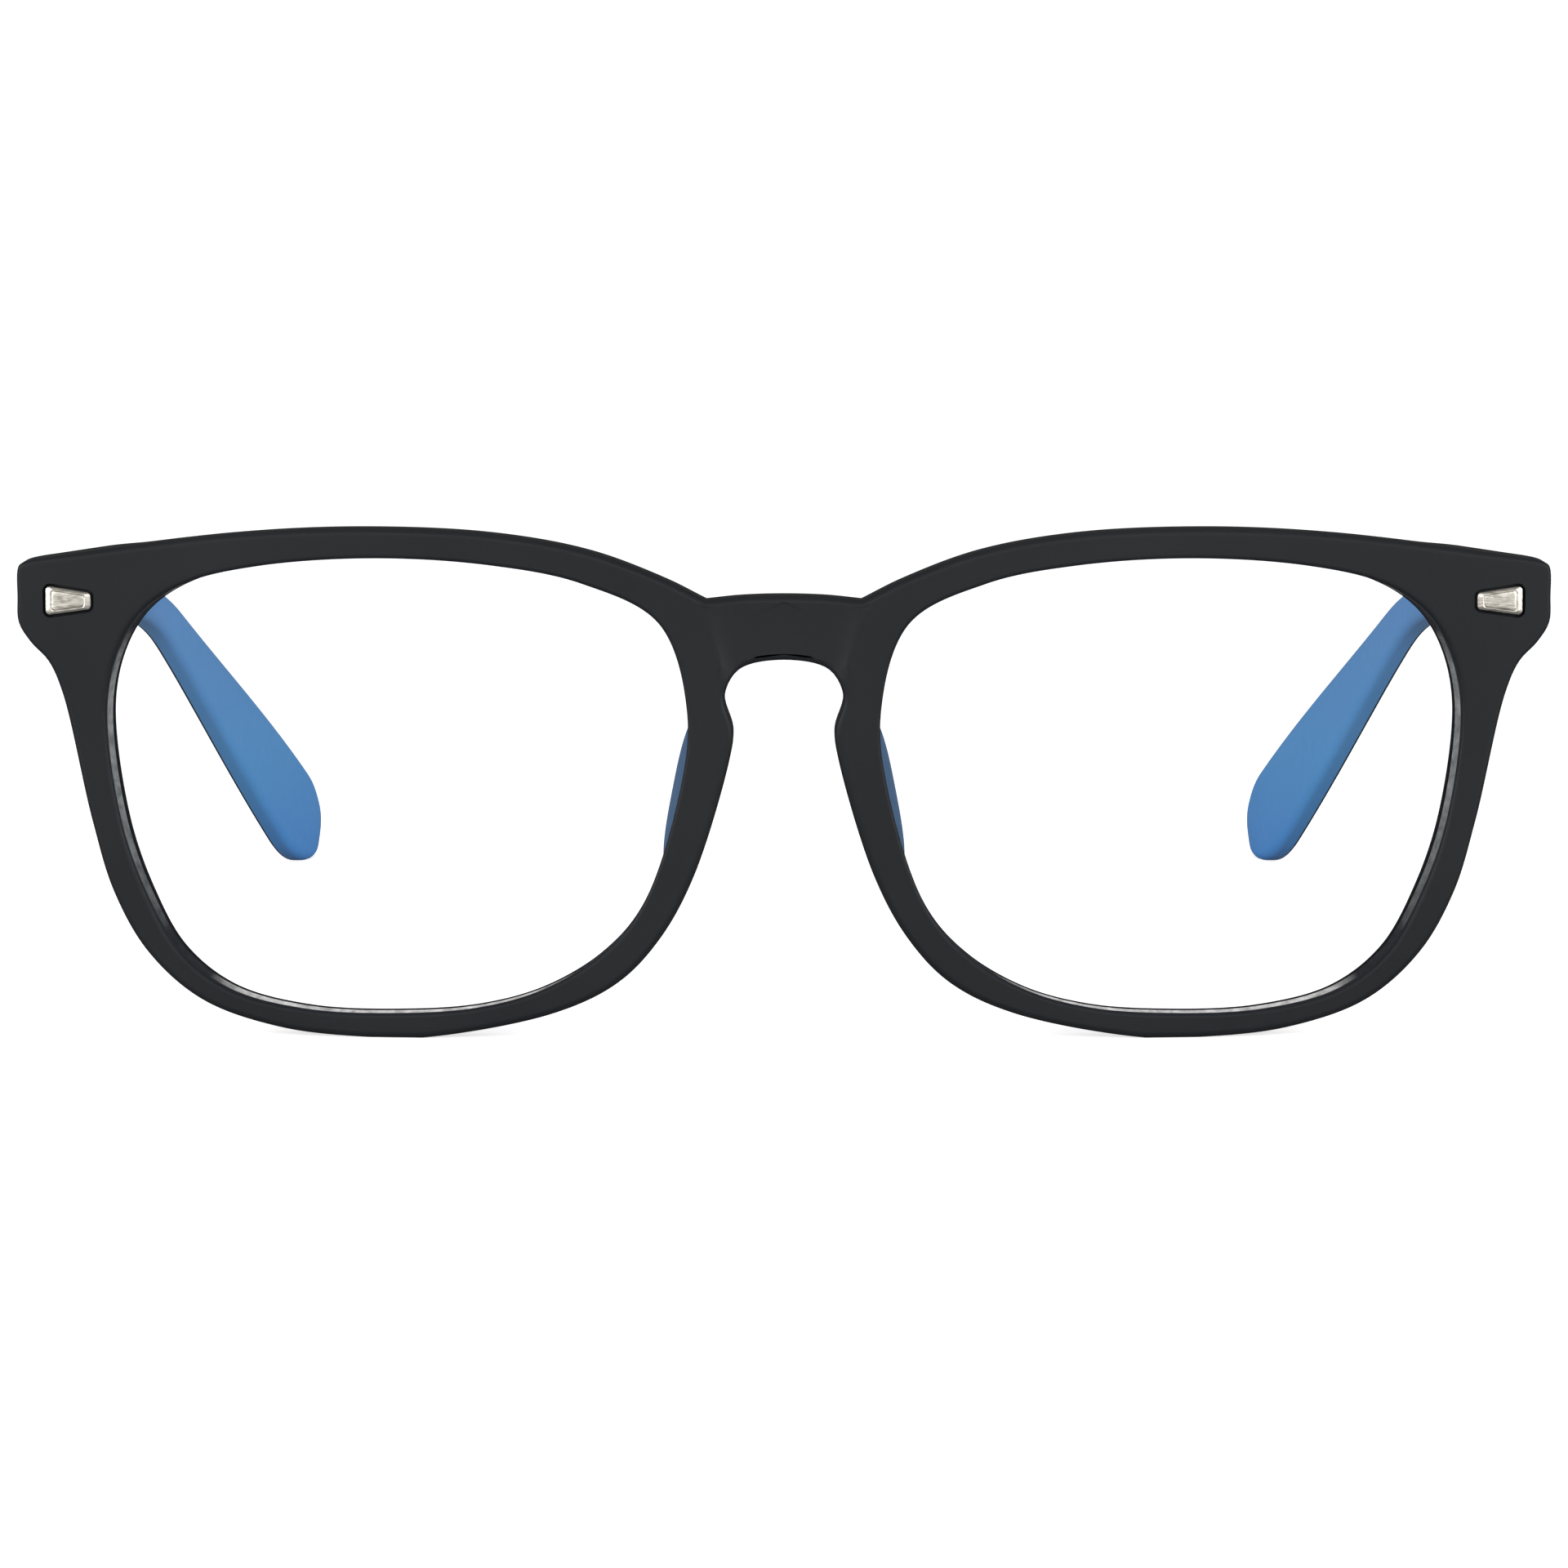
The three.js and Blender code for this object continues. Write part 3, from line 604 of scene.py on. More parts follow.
def lean_inner_walls(grid, columns):
    """The walls of the lens opening stand square to the bowed front, so deeper points lean to the nose."""
    inner, outer = columns["inner"], columns["outer"]
    width = np.linalg.norm(outer - inner, axis=1)
    share = 1 - np.clip(np.hypot(grid[..., 0] - inner[:, 0], grid[..., 2] - inner[:, 1]) / width, 0, 1)
    depth = np.maximum(grid[..., 1] - bow(grid[..., 0]), 0)
    grid[..., 0] -= share * depth * grid[..., 0] / BOW_RADIUS
    return grid


def front_blank():
    """Both halves of the front as one closed mesh, joined over the mirror plane."""
    columns = rim_columns()
    grid, wall = rim_section(columns)
    grid = lean_inner_walls(grid, columns)
    rows, count = grid.shape[:2]
    faces = grid_faces(rows, count, wrap_rows=True, wrap_columns=True)
    row, column = faces[:, 0] // count, faces[:, 0] % count
    last_fillet = wall - FILLET_STEPS + 1
    open_side = columns["gap"][column] & (row >= last_fillet) & (row < wall + FILLET_STEPS)
    faces = faces[~open_side]
    points = grid.reshape(-1, 3)
    both = np.vstack([points, points * (-1, 1, 1)])
    both_faces = np.vstack([faces, faces[:, ::-1] + len(points)])
    return mesh_object("front_frame_skin", both, both_faces, FRAME_BLACK)


# ---------- Lenses ----------
def lens():
    """A meniscus lens whose ground bevel stands in the rim's groove."""
    columns = rim_columns()
    inner, i_in = columns["inner"][::2], columns["inner_in"][::2]
    half = LENS_THICKNESS / 2
    clear_edge = inner + i_in * LENS_TUCK
    shares = np.linspace(0, 1, LENS_RINGS)[1:]

    def face(offset, share):
        p = lerp(LENS_CENTRE, clear_edge, share)
        return np.column_stack([p[:, 0], lens_face(p[:, 0], p[:, 1]) + offset, p[:, 1]]), share

    bevel_tip = inner + i_in * LENS_BEVEL
    tip = np.column_stack([bevel_tip[:, 0], lens_face(inner[:, 0], inner[:, 1]), bevel_tip[:, 1]])
    rings = [face(-half, share) for share in shares]
    rings += [(tip, 1)]
    rings += [face(half, share) for share in shares[::-1]]
    for ring, share in rings:
        ring[:, 0] -= share * (ring[:, 1] - bow(ring[:, 0])) * ring[:, 0] / BOW_RADIUS
    rings = np.stack([ring for ring, _ in rings])
    rows, count = rings.shape[:2]
    points = rings.reshape(-1, 3)
    faces = grid_faces(rows, count, wrap_columns=True).tolist()
    poles = [[*LENS_CENTRE[:1], LENS_APEX + offset, *LENS_CENTRE[1:]] for offset in (-half, half)]
    points = np.vstack([points, poles])
    made = mesh_object("lens", points, faces + end_fans(rows, count), LENS_CLEAR, sharp=25)
    made.data.materials.append(LENS_EDGE)
    edge_ring = len(shares) - 1
    for polygon in made.data.polygons:
        row = min(polygon.vertices) // count
        if row in (edge_ring, edge_ring + 1) and len(polygon.vertices) == 4:
            polygon.material_index = 1
    return made


# ---------- Lofts ----------
def loft(name, rings, material, sharp=None):
    """A closed skin over rings of equally many points, its ends filled by fans."""
    rings = np.stack(rings)
    rows, count = rings.shape[:2]
    points = np.vstack([rings.reshape(-1, 3), rings[0].mean(0), rings[-1].mean(0)])
    faces = grid_faces(rows, count, wrap_columns=True).tolist()
    return mesh_object(name, points, faces + end_fans(rows, count), material, sharp)


# ---------- Nose pads ----------
PAD = {"bottom": 14.2, "top": 31.0, "front": 4.5, "depth": 5.55, "width": 2.4}
# Slanted lines that the pad follows: x at a height, that height, and how much x grows for each mm down.
PAD_ROOT = (6.9, 28, 0.22)  # its middle, where it meets the rim
PAD_BACK = (10.1, 27.5, 0.19)  # its outer surface, at the back
PAD_POWERS = (0.4, 0.9)  # shape of its section, squarer at the rim and rounder at the back
PAD_SIDE_POWER = 0.75
PAD_SIDES, PAD_RINGS, PAD_END = 48, 48, 0.06


def on_line(line, z):
    x, height, growth = line
    return x + growth * (height - z)


def nose_pad():
    """A soft leaf on the back of the rim's nasal side, splayed away from the nose."""
    angles = np.linspace(0, 2 * math.pi, PAD_SIDES, endpoint=False)
    c, s = np.cos(angles), np.sin(angles)
    power = np.where(c < 0, *PAD_POWERS)
    rings = []
    for a in np.linspace(PAD_END, math.pi - PAD_END, PAD_RINGS):
        t = (1 - math.cos(a)) / 2
        z = lerp(PAD["bottom"], PAD["top"], t)
        swell = (1 - abs(2 * t - 1) ** 3) ** (1 / 3)
        along = PAD["depth"] * swell / 2 * (1 + np.sign(c) * np.abs(c) ** power)
        aside = PAD["width"] * swell / 2 * np.sign(s) * np.abs(s) ** PAD_SIDE_POWER
        back = on_line(PAD_BACK, z) - PAD["width"] / 2
        x = lerp(on_line(PAD_ROOT, z), back, along / PAD["depth"]) + aside
        rings.append(np.column_stack([x, PAD["front"] + along, np.full_like(x, z)]))
    return loft("nose_pad", rings, PAD_BLUE)


# ---------- Plaques ----------
PLAQUE_SPOT = np.array([66.85, 40.7])
PLAQUE_HALF, PLAQUE_CORNER = 2.15, 0.4
PLAQUE_NOSE_HALF, PLAQUE_TEMPLE_HALF = 0.8, 1.3  # half its height at either end
PLAQUE_PROUD = 0.02
PLAQUE_CROWN = 0.22
PLAQUE_BORDER = {"depth": 0.06, "place": 0.72, "width": 0.035}  # place and width as shares of the outline
PLAQUE_GAP = 0.3
PLAQUE_SINK = 0.85


def plaque_outline(gap, steps=13):
    """A plain bar with round corners, taller at its temple end, grown by a gap."""
    rise, run = PLAQUE_TEMPLE_HALF - PLAQUE_NOSE_HALF, 2 * (PLAQUE_HALF - PLAQUE_CORNER)
    taper = math.degrees(math.atan(rise / run))
    corners = (
        (1, 1, PLAQUE_TEMPLE_HALF, 0, 90 + taper),
        (-1, 1, PLAQUE_NOSE_HALF, 90 + taper, 180),
        (-1, -1, PLAQUE_NOSE_HALF, 180, 270 - taper),
        (1, -1, PLAQUE_TEMPLE_HALF, 270 - taper, 360),
    )
    reach = PLAQUE_CORNER + gap
    points = []
    for right, up, height, start, end in corners:
        t = np.radians(np.linspace(start, end, steps))
        x = right * (PLAQUE_HALF - PLAQUE_CORNER) + reach * np.cos(t)
        points.append(np.column_stack([x, up * (height - PLAQUE_CORNER) + reach * np.sin(t)]))
    return np.vstack(points)


def on_end_piece(x, y, z):
    """From the plaque's own flat axes to its place on the bowed end piece."""
    turn = math.atan((PLAQUE_SPOT[0] - BRIDGE_FLAT) / BOW_RADIUS)
    c, s = math.cos(turn), math.sin(turn)
    return np.stack(
        [PLAQUE_SPOT[0] + c * x - s * y, bow(PLAQUE_SPOT[0]) + s * x + c * y, PLAQUE_SPOT[1] + z], -1
    )


def plaque():
    """A polished bar with a rolled edge and a fine engraved border."""
    profile = [(1, PLAQUE_SINK - 0.1), (1, 0.05)]
    for share in 1 - np.linspace(0, 0.94, 46) ** 1.4:
        off_border = (share - PLAQUE_BORDER["place"]) / PLAQUE_BORDER["width"]
        border = PLAQUE_BORDER["depth"] * math.exp(-(off_border**2))
        profile.append((share, border - PLAQUE_PROUD - PLAQUE_CROWN * (1 - share**5)))
    outline = plaque_outline(0)
    x, z = outline[:, 0], outline[:, 1]
    rings = [on_end_piece(x * k, np.full(len(outline), y), z * k) for k, y in profile]
    return loft("plaque", rings, SILVER, sharp=60)


def prism(name, outline, low, high, place, material):
    """An outline pushed from `low` to `high`; `place` turns (a, b, depth) into millimetres."""
    outline = np.asarray(outline, float)
    n = len(outline)
    ends = [place(outline[:, 0], outline[:, 1], np.full(n, depth, float)) for depth in (low, high)]
    sides = [[i, (i + 1) % n, n + (i + 1) % n, n + i] for i in range(n)]
    caps = [list(range(n))[::-1], list(range(n, 2 * n))]
    return mesh_object(name, np.vstack(ends), caps + sides, material)


def plaque_pocket():
    """The recess in the end piece, a hair wider than the plaque all round."""
    outline = plaque_outline(PLAQUE_GAP)
    in_place = lambda a, b, depth: on_end_piece(a, depth, b)
    return prism("pocket", outline, -2, PLAQUE_SINK, in_place, FRAME_BLACK)


# ---------- Hinges ----------
HINGE_X, HINGE_Y, HINGE_Z = 66.1, 12.6, 40.8
KNUCKLE_RADIUS, KNUCKLE_HEIGHT, KNUCKLE_GAP = 1.35, 1.1, 0.12
KNUCKLES = 5
BORE_RADIUS, PIN_RADIUS = 0.72, 0.65
HINGE_BOTTOM = HINGE_Z - (KNUCKLES * KNUCKLE_HEIGHT + (KNUCKLES - 1) * KNUCKLE_GAP) / 2
HINGE_TOP = 2 * HINGE_Z - HINGE_BOTTOM
ANCHOR = (63.6, 8.3, 38.7, 66.9, 11.1, 42.9)
PLATE = (66.95, 13.75, 39.0, 67.95, 22.0, 42.6)
LEAF_REACH = 3.1  # from the pin to the front leaf's nose-side end
LEAF_SCREW_Y = (16.2, 19.8)
LEAF_HOLE_RADIUS, LEAF_SEAT_RADIUS, LEAF_SEAT_DEPTH = 0.52, 0.9, 0.45
PLATE_CORNER = 0.9


def upright(x, y, z):
    return np.stack([x, y, z], -1)


def sideways(y, z, x):
    return np.stack([x, y, z], -1)


def circle(a, b, radius, sides=48):
    t = np.linspace(0, 2 * math.pi, sides, endpoint=False)
    return np.column_stack([a + radius * np.cos(t), b + radius * np.sin(t)])


def block(name, x0, y0, z0, x1, y1, z1, material):
    return prism(name, [(x0, y0), (x1, y0), (x1, y1), (x0, y1)], z0, z1, upright, material)


def rounded_box(name, a0, b0, a1, b1, radius, low, high, place, material):
    """A plate with rounded corners."""
    outline = []
    corners = ((a1, b0, -90), (a1, b1, 0), (a0, b1, 90), (a0, b0, 180))
    for a, b, start in corners:
        ca = a - math.copysign(radius, a - (a0 + a1) / 2)
        cb = b - math.copysign(radius, b - (b0 + b1) / 2)
        for k in range(7):
            t = math.radians(start + 15 * k)
            outline.append((ca + radius * math.cos(t), cb + radius * math.sin(t)))
    return prism(name, outline, low, high, place, material)


def knuckle(k, foot):
    """One barrel with its web: the outline runs round the barrel and down to the foot's two points."""
    z = HINGE_BOTTOM + k * (KNUCKLE_HEIGHT + KNUCKLE_GAP)
    start, end = foot["from"], foot["to"]
    t = np.radians(np.linspace(start, end, 40))
    barrel = np.column_stack([HINGE_X + KNUCKLE_RADIUS * np.cos(t), HINGE_Y + KNUCKLE_RADIUS * np.sin(t)])
    outline = np.vstack([barrel, foot["points"]])
    return prism("knuckle", outline, z, z + KNUCKLE_HEIGHT, upright, STEEL)


def softened(piece, width=0.06):
    """Small rounded edges all over."""
    bevel = piece.modifiers.new("soft", "BEVEL")
    bevel.width = width * MM
    bevel.segments = 2
    bevel.limit_method = "ANGLE"
    bevel.angle_limit = math.radians(40)
    apply_modifiers(piece)
    return crisp(piece, 40)


def bore(sides=40):
    ring = circle(HINGE_X, HINGE_Y, BORE_RADIUS, sides)
    return prism("bore", ring, HINGE_BOTTOM - 1, HINGE_TOP + 1, upright, STEEL)


def front_leaf():
    """Three barrels on a flange behind the end piece, and the anchor sunk into it."""
    face = LUG_BACK + 0.05
    nose_end = HINGE_X - LEAF_REACH
    near, web = nose_end + 0.45, face + 0.02
    foot = {"from": -90, "to": 180, "points": [(near, 12.1), (near, web), (HINGE_X - 0.9, web)]}
    flange = block("flange", nose_end, face, HINGE_BOTTOM, HINGE_X - 1.55, face + 0.75, HINGE_TOP, STEEL)
    anchor = block("anchor", *ANCHOR, STEEL)
    leaf = union(flange, anchor, *(knuckle(k, foot) for k in (0, 2, 4)))
    return softened(cut(leaf, bore()))


def leaf_hole(y, radius, low, high, material, sides=48):
    """A round hole along x at a leaf screw's place."""
    return prism("hole", circle(y, HINGE_Z, radius, sides), low, high, sideways, material)


def temple_leaf():
    """Two barrels on a plate let into the temple, with seats for its screws."""
    x0, y0, z0, x1, y1, z1 = PLATE
    web, back = x0 + 0.5, y0 + 0.9
    foot = {"from": 90, "to": 270, "points": [(web, HINGE_Y - 0.35), (web, back), (x0 + 0.05, back)]}
    plate = rounded_box("plate", y0, z0, y1, z1, PLATE_CORNER, x0, x1, sideways, STEEL)
    leaf = union(plate, *(knuckle(k, foot) for k in (1, 3)))
    holes = [leaf_hole(y, LEAF_HOLE_RADIUS, x0 - 1, x1 + 1, STEEL) for y in LEAF_SCREW_Y]
    seats = [leaf_hole(y, LEAF_SEAT_RADIUS, x0 - 1, x0 + LEAF_SEAT_DEPTH, STEEL) for y in LEAF_SCREW_Y]
    return softened(cut(leaf, bore(), *holes, *seats))


def turned(name, profile, place, material, sides=40):
    """A body turned from a (radius, depth) profile."""
    t = np.linspace(0, 2 * math.pi, sides, endpoint=False)
    rings = [place(r * np.cos(t), r * np.sin(t), np.full(sides, depth, float)) for r, depth in profile]
    return loft(name, rings, material, sharp=35)


def hinge_screw():
    """A slotted screw with a domed head, and a ringed end below that stands for its thread."""
    top, low = HINGE_TOP + 0.06, HINGE_BOTTOM - 0.2
    slot_half, slot_low = 0.16, top + 0.24
    head = [(1.15, top), (1.15, top + 0.3), (1.02, top + 0.42), (0.7, top + 0.49), (0.3, top + 0.5)]
    thread = [(PIN_RADIUS - 0.03 * (k % 2), low + 0.3 + 0.15 * k) for k in range(9)]
    profile = [(0.3, low), (PIN_RADIUS - 0.08, low + 0.1), *thread, (PIN_RADIUS, top), *head]
    place = lambda a, b, d: upright(HINGE_X + a, HINGE_Y + b, d)
    screw = turned("hinge_screw", profile, place, SCREW_STEEL)
    y0, y1 = HINGE_Y - slot_half, HINGE_Y + slot_half
    slot = block("slot", HINGE_X - 2, y0, slot_low, HINGE_X + 2, y1, top + 2, SCREW_STEEL)
    return crisp(cut(screw, slot), 35)


def leaf_screw(y):
    """A small cross-head screw in its seat in the temple's plate."""
    x0, x1 = PLATE[0], PLATE[3]
    head = [(0.3, x0 - 0.04), (0.6, x0), (0.78, x0 + 0.1), (0.82, x0 + 0.38)]
    shank = [(0.45, x0 + 0.42), (0.45, x1 + 1.6), (0.1, x1 + 1.9)]
    place = lambda a, b, d: sideways(y + a, HINGE_Z + b, d)
    screw = turned("leaf_screw", head + shank, place, SCREW_STEEL, 32)
    arms = [
        block("arm", x0 - 1, y - a, HINGE_Z - b, x0 + 0.2, y + a, HINGE_Z + b, SCREW_STEEL)
        for a, b in ((0.1, 0.42), (0.42, 0.1))
    ]
    return crisp(cut(screw, *arms), 35)


# ---------- Temples ----------
TEMPLE_START = 11.25
TEMPLE_INNER_X = 67.5
TEMPLE_MIDDLE_Z = 41.2
TEMPLE_LENGTH = 145.0
SHAFT_SLOPE, HOOK_SLOPE = 5.4, 28.6
BEND_FROM, BEND_TO = 68.5, 86.1
INWARD, INWARD_FROM, INWARD_RUN = 0.21, 72.4, 16.7
ROUND_ABOVE, ROUND_BELOW = 8.5, 13.2  # lengths over which the tip's upper and lower edges round off
SHAFT_HEIGHTS, SHAFT_TAPER = (6.1, 3.65), (0, 70)  # a height or thickness at both ends of a length
PADDLE_GROWTH, PADDLE_SPAN, PADDLE_POWER = 7.15, (70, 140), 0.9
THICKNESSES, THICKNESS_TAPER = (4.05, 2.33), (8, 95)
SKINS, SKIN_TAPER = (1.3, 0.4), (12, 75)  # the outer layer's share of the thickness
SQUARE_SPAN = (0, 12)  # sections turn over this length from upright at the butt to square to the temple
BUTT_SPAN = (0, 3)  # length over which the inner layer's edges grow round behind the butt
PINCH_LENGTH, INNER_PINCH, OUTER_PINCH = 3.0, 0.3, 0.4  # how the tip thins at its very end
PATH_STEP = 0.25
LAYER_GAP = 0.02
SHARP_CORNER = (0.01, 0.01)
TEMPLE_STOPS = np.concatenate(  # sections, closest together at the bend and at the tip
    [
        np.linspace(0, 68, 30),
        np.linspace(70, 98, 40),
        np.linspace(99.5, 130, 20),
        TEMPLE_LENGTH - 14 * np.cos(np.linspace(0, 1.56, 48)),
    ]
)


def temple_line(s):
    """The temple's middle line in (y, z) and its slope, at distances s from the butt face."""
    fine = np.arange(0, TEMPLE_LENGTH + PATH_STEP, PATH_STEP)
    slope = np.radians(lerp(SHAFT_SLOPE, HOOK_SLOPE, smooth(fine, BEND_FROM, BEND_TO)))
    y = TEMPLE_START + np.concatenate([[0], np.cumsum(np.cos(slope[:-1])) * PATH_STEP])
    z = TEMPLE_MIDDLE_Z - np.concatenate([[0], np.cumsum(np.sin(slope[:-1])) * PATH_STEP])
    return np.interp(s, fine, y), np.interp(s, fine, z), np.interp(s, fine, slope)


def temple_height(s):
    """Slim at the bend, a paddle at the tip."""
    shaft = lerp(*SHAFT_HEIGHTS, smooth(s, *SHAFT_TAPER))
    return shaft + PADDLE_GROWTH * smooth(s, *PADDLE_SPAN) ** PADDLE_POWER


def tip_round(s, reach):
    """1 along the temple, falling to 0 in a quarter circle over the last millimetres."""
    left = (TEMPLE_LENGTH - s) / reach
    return np.sqrt(np.maximum(1 - np.maximum(1 - left, 0) ** 2, 0))


def temple_thickness(s):
    return lerp(*THICKNESSES, smooth(s, *THICKNESS_TAPER))


def skin_thickness(s):
    return lerp(*SKINS, smooth(s, *SKIN_TAPER))


def inward_lean(y):
    """How far the hook has leant towards the head at depth y."""
    run = np.maximum(0, y - INWARD_FROM)
    near = INWARD * run**2 / (2 * INWARD_RUN)
    return np.where(run < INWARD_RUN, near, INWARD * (run - INWARD_RUN / 2))


def layer_outline(x0, x1, below, above, near, far, steps=7):
    """One layer's section: near = (x, height) radii of the corners at x0, far = those at x1."""
    points = []
    corners = ((x1, -below, far, -90), (x1, above, far, 0), (x0, above, near, 90), (x0, -below, near, 180))
    for x, edge, (rx, rh), start in corners:
        side, up = math.copysign(1, x - (x0 + x1) / 2), math.copysign(1, edge)
        for t in np.radians(start + np.linspace(0, 90, steps)):
            points.append((x - side * rx + rx * math.cos(t), edge - up * rh + rh * math.sin(t)))
    return np.array(points)


def temple_layer(name, outer, material):
    """The blue inner layer, or the thin black outer one, of a temple."""
    rings = []
    for s in TEMPLE_STOPS:
        y, z, slope = (float(v) for v in temple_line(s))
        half = float(temple_height(s)) / 2
        above, below = half * float(tip_round(s, ROUND_ABOVE)), half * float(tip_round(s, ROUND_BELOW))
        thickness, skin = float(temple_thickness(s)), float(skin_thickness(s))
        pinch = (1 - float(tip_round(s, PINCH_LENGTH))) * thickness * INNER_PINCH
        split = thickness - skin
        x0, x1 = (split, thickness - pinch * OUTER_PINCH) if outer else (pinch, split - LAYER_GAP)
        soft = min(1.0, below * 0.8)
        if outer:
            near, far = SHARP_CORNER, ((x1 - x0) * 0.8, 0.9 * soft)
        else:
            grown = max(float(smooth(s, *BUTT_SPAN)), 0.3)
            near, far = (min(1.0, (x1 - x0) * 0.6) * grown, 1.1 * soft * grown), SHARP_CORNER
        turn = slope * float(smooth(s, *SQUARE_SPAN))
        section = layer_outline(x0, x1, below, above, near, far)
        py = y + section[:, 1] * math.sin(turn)
        pz = z + section[:, 1] * math.cos(turn)
        x = TEMPLE_INNER_X + section[:, 0] - inward_lean(py)
        rings.append(np.column_stack([x, py, np.maximum(pz, 0)]))
    return loft(name, rings, material, sharp=50)


def temple_inner():
    layer = temple_layer("temple_inner", False, TEMPLE_BLUE)
    x0, y0, z0, x1, y1, z1 = PLATE
    gap = 0.12
    sides = (y0 - gap, z0 - gap, y1 + gap, z1 + gap)
    recess = rounded_box("recess", *sides, PLATE_CORNER + gap, x0 - 3, x1 + 0.06, sideways, TEMPLE_BLUE)
    holes = [leaf_hole(y, 0.5, 60, x1 + 2, TEMPLE_BLUE, 24) for y in LEAF_SCREW_Y]
    return crisp(cut(layer, recess, *holes), 40)


def temple_outer():
    return temple_layer("temple_outer", True, FRAME_BLACK)


# ---------- The front ----------
def front():
    shell = front_blank()
    x0, y0, z0, x1, y1, z1 = ANCHOR
    gap = 0.1
    seat = block("seat", x0 - gap, y0 - gap, z0 - gap, x1 + gap, y1 + 1, z1 + gap, FRAME_BLACK)
    tools = [plaque_pocket(), seat]
    tools += [mirrored(tool, tool.name + "_right") for tool in tools]
    cut(shell, *tools)
    crisp(shell, 50)
    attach(shell, "front")
    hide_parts("front_frame")
    return shell


front()
place_pair(lens(), "lens", "front")
place_pair(nose_pad(), "nose_pad", "front")
place_pair(plaque(), "plaque", "front")
place_pair(front_leaf(), "front_hinge_leaf", "front")
place_pair(hinge_screw(), "hinge_screw", "front")
place_pair(temple_leaf(), "temple_hinge_leaf", "temple")
for end, y in zip(("front", "rear"), LEAF_SCREW_Y):
    place_pair(leaf_screw(y), f"leaf_screw_{end}", "temple")
place_pair(temple_inner(), "temple_inner", "temple")
place_pair(temple_outer(), "temple_outer", "temple")


# ---------- Studio ----------
FLOOR_SPAN = 6.0  # metres from the middle to each edge
FLOOR_GLOW = 0.7  # what the floor adds of its own light, for the camera alone
FLOOR_DROP = 0.00002  # metres the floor lies below the table's height, so that no faces coincide
FLOOR_LIT = (0.4, 0.4, 0.4, 1)  # the floor as other surfaces see it
FLOOR_SEEN = (0.95, 0.9, 0.88, 1)  # and as the camera does
PAPER_FROM, PAPER_TO = 0.16, 0.5  # metres from the origin over which the floor turns into white paper
PAPER_WHITE = 1.15
SKY_LIGHT = 0.17


def floor():
    """A plain pale floor: soft contact shadows near the glasses, even white paper further out."""
    made, tree, shader = material("studio_floor")
    shader.inputs["Roughness"].default_value = 0.9
    shader.inputs["Specular IOR Level"].default_value = 0.0
    sees = tree.nodes.new("ShaderNodeLightPath")
    tone = add(tree, "ShaderNodeMix", data_type="RGBA")
    tone.inputs[6].default_value = FLOOR_LIT
    tone.inputs[7].default_value = FLOOR_SEEN
    tree.links.new(sees.outputs["Is Camera Ray"], tone.inputs[0])
    tree.links.new(tone.outputs[2], shader.inputs["Base Color"])
    shader.inputs["Emission Color"].default_value = (1, 1, 1, 1)
    glow = add(tree, "ShaderNodeMath", operation="MULTIPLY")
    glow.inputs[1].default_value = FLOOR_GLOW
    tree.links.new(sees.outputs["Is Camera Ray"], glow.inputs[0])
    tree.links.new(glow.outputs["Value"], shader.inputs["Emission Strength"])
    where = tree.nodes.new("ShaderNodeTexCoord")
    distance = add(tree, "ShaderNodeVectorMath", operation="LENGTH")
    tree.links.new(where.outputs["Object"], distance.inputs[0])
    share = add(tree, "ShaderNodeMapRange")
    share.inputs["From Min"].default_value = PAPER_FROM
    share.inputs["From Max"].default_value = PAPER_TO
    tree.links.new(distance.outputs["Value"], share.inputs["Value"])
    far = add(tree, "ShaderNodeMath", operation="MULTIPLY")
    tree.links.new(share.outputs["Result"], far.inputs[0])
    tree.links.new(sees.outputs["Is Camera Ray"], far.inputs[1])
    paper = add(tree, "ShaderNodeEmission", Strength=PAPER_WHITE)
    mix = tree.nodes.new("ShaderNodeMixShader")
    tree.links.new(far.outputs["Value"], mix.inputs["Fac"])
    tree.links.new(shader.outputs["BSDF"], mix.inputs[1])
    tree.links.new(paper.outputs["Emission"], mix.inputs[2])
    tree.links.new(mix.outputs["Shader"], tree.nodes["Material Output"].inputs["Surface"])
    mesh = bpy.data.meshes.new("studio_floor")
    signs = ((-1, -1), (1, -1), (1, 1), (-1, 1))
    corners = [(x * FLOOR_SPAN, y * FLOOR_SPAN, TABLE - FLOOR_DROP) for x, y in signs]
    mesh.from_pydata(corners, [], [(0, 1, 2, 3)])
    mesh.materials.append(made)
    piece = bpy.data.objects.new("studio_floor", mesh)
    bpy.context.scene.collection.objects.link(piece)


def soft_light(name, place, width, height, watts):
    light = bpy.data.lights.new(name, "AREA")
    light.shape = "RECTANGLE"
    light.size, light.size_y = width, height
    light.energy = watts
    lamp = bpy.data.objects.new(name, light)
    bpy.context.scene.collection.objects.link(lamp)
    lamp.location = place
    lamp.rotation_euler = (Vector(LIGHTS_AIM) - Vector(place)).to_track_quat("-Z", "Y").to_euler()
    lamp.visible_camera = False


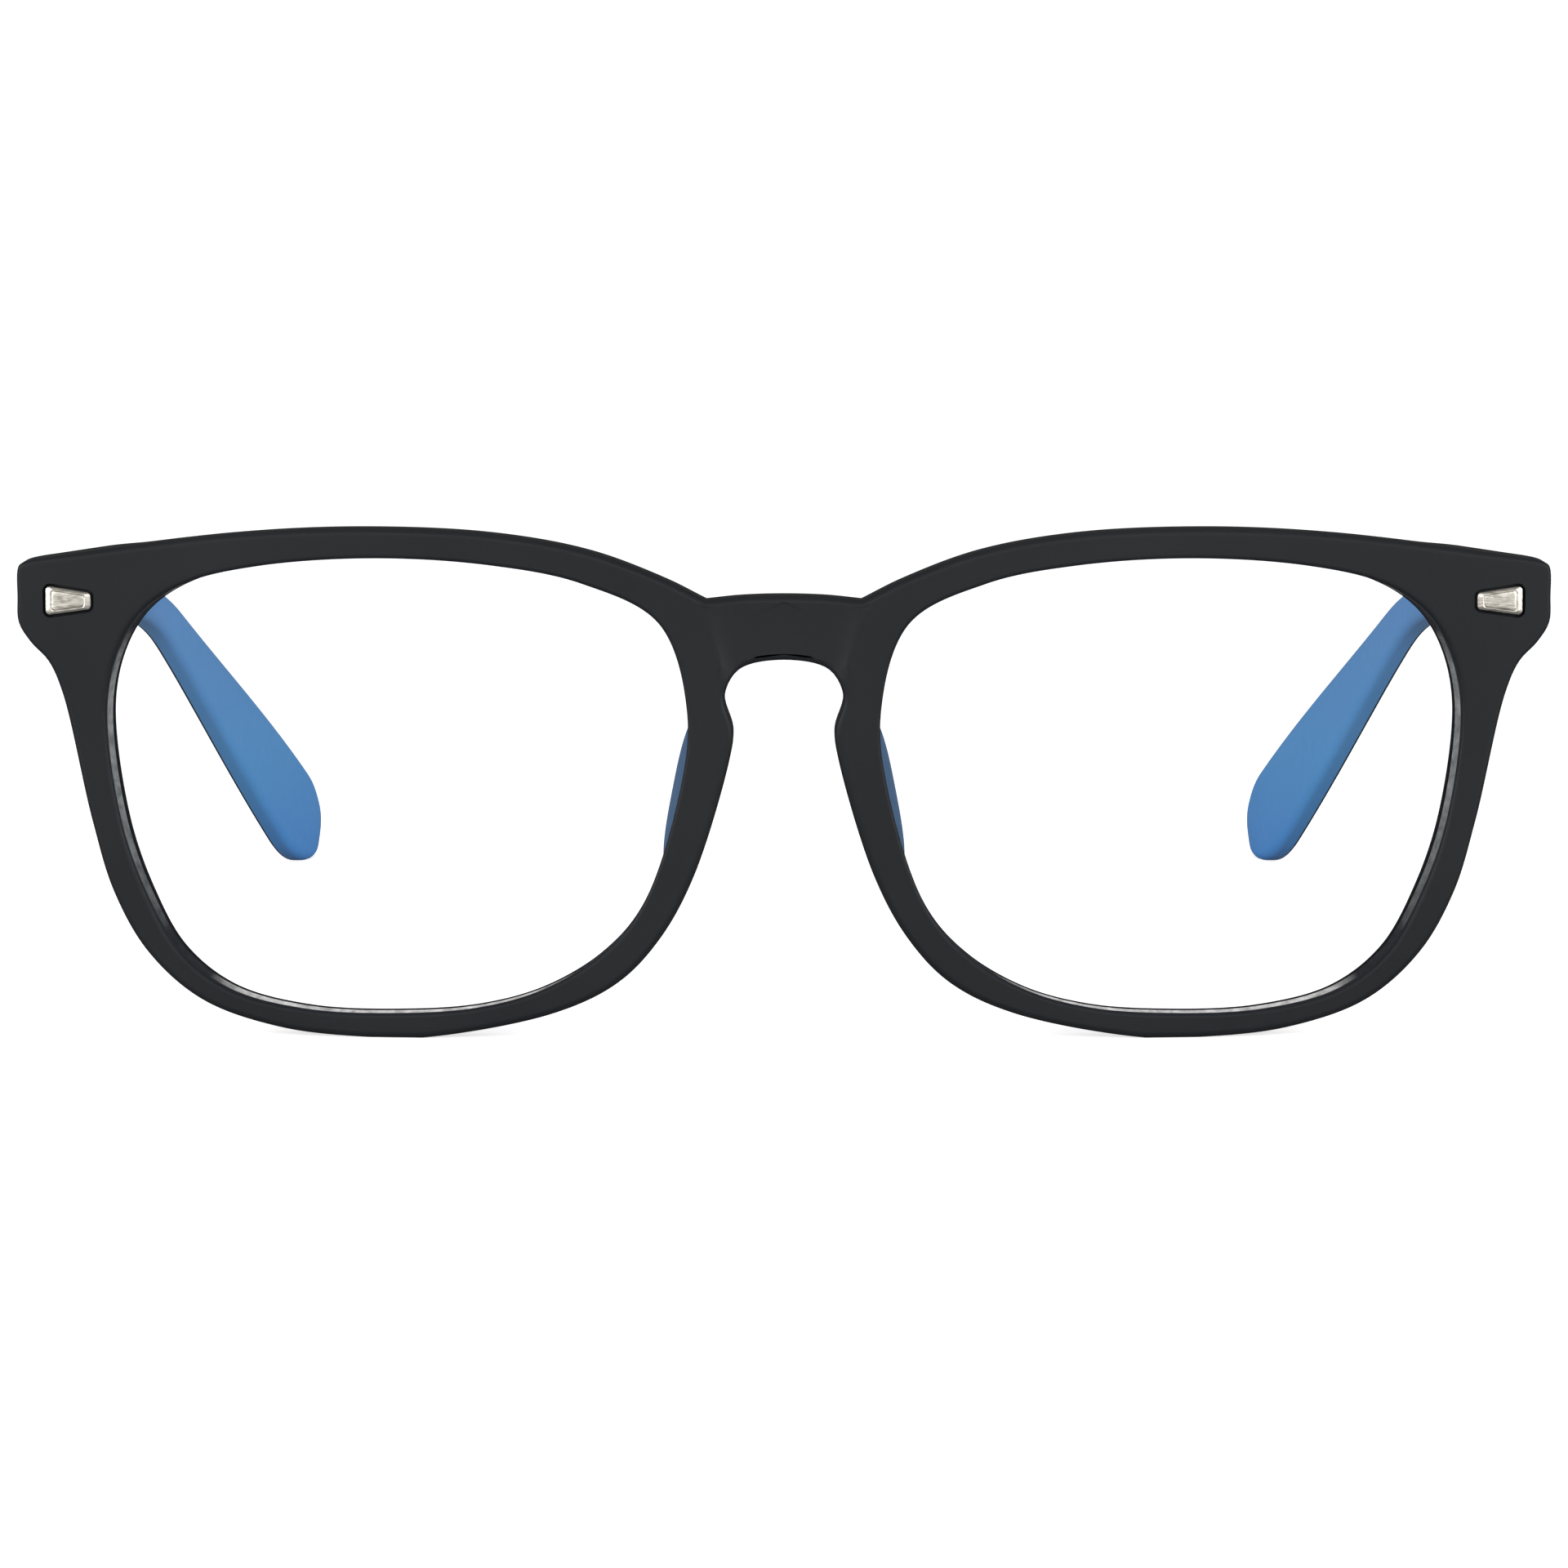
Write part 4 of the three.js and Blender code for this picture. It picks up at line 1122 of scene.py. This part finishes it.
LIGHTS_AIM = (0, 0.06, -0.01)  # metres in the frame, as the lights' places and sizes are
SOFT_LIGHTS = {  # place, width, height, watts
    "key": ((0, -1.0, 0.3), 0.8, 0.5, 5),
    "left": ((-0.85, -0.5, 0.2), 0.5, 0.6, 8),
    "right": ((0.85, -0.5, 0.2), 0.5, 0.6, 8),
    "overhead": ((0, 0.1, 0.9), 1.0, 0.8, 1),
}


def studio():
    """White surroundings as the camera sees them, dimmer as a light, and four soft lights."""
    world = bpy.data.worlds.new("studio")
    bpy.context.scene.world = world
    world.use_nodes = True
    tree = world.node_tree
    sky = tree.nodes["Background"]
    sees = tree.nodes.new("ShaderNodeLightPath")
    level = add(tree, "ShaderNodeMapRange")
    level.inputs["To Min"].default_value = SKY_LIGHT
    level.inputs["To Max"].default_value = PAPER_WHITE
    tree.links.new(sees.outputs["Is Camera Ray"], level.inputs["Value"])
    tree.links.new(level.outputs["Result"], sky.inputs["Strength"])
    sky.inputs["Color"].default_value = (1, 1, 1, 1)
    for name, settings in SOFT_LIGHTS.items():
        soft_light(name, *settings)


CAMERA_DISTANCE = 0.6  # metres, as the values below
CAMERA_HEIGHT = 0.08815  # above the table
AIM_HEIGHT = 0.02405  # above the table
VIEW_WIDTH = 0.1456  # how much the picture takes in at the aim


def camera():
    """A long lens in front of the bridge, a little above it, tilted down."""
    lens_data = bpy.data.cameras.new("camera")
    eye = Vector((0, -CAMERA_DISTANCE - BRIDGE_SET_BACK * MM, TABLE + CAMERA_HEIGHT))
    aim = Vector((0, -BRIDGE_SET_BACK * MM, TABLE + AIM_HEIGHT))
    seen = (aim - eye).length
    lens_data.lens = lens_data.sensor_width * seen / VIEW_WIDTH
    lens_data.clip_start = 0.01
    made = bpy.data.objects.new("camera", lens_data)
    bpy.context.scene.collection.objects.link(made)
    made.location = eye
    made.rotation_euler = (aim - eye).to_track_quat("-Z", "Y").to_euler()
    bpy.context.scene.camera = made


floor()
studio()
camera()
bpy.context.scene.view_settings.view_transform = "Standard"
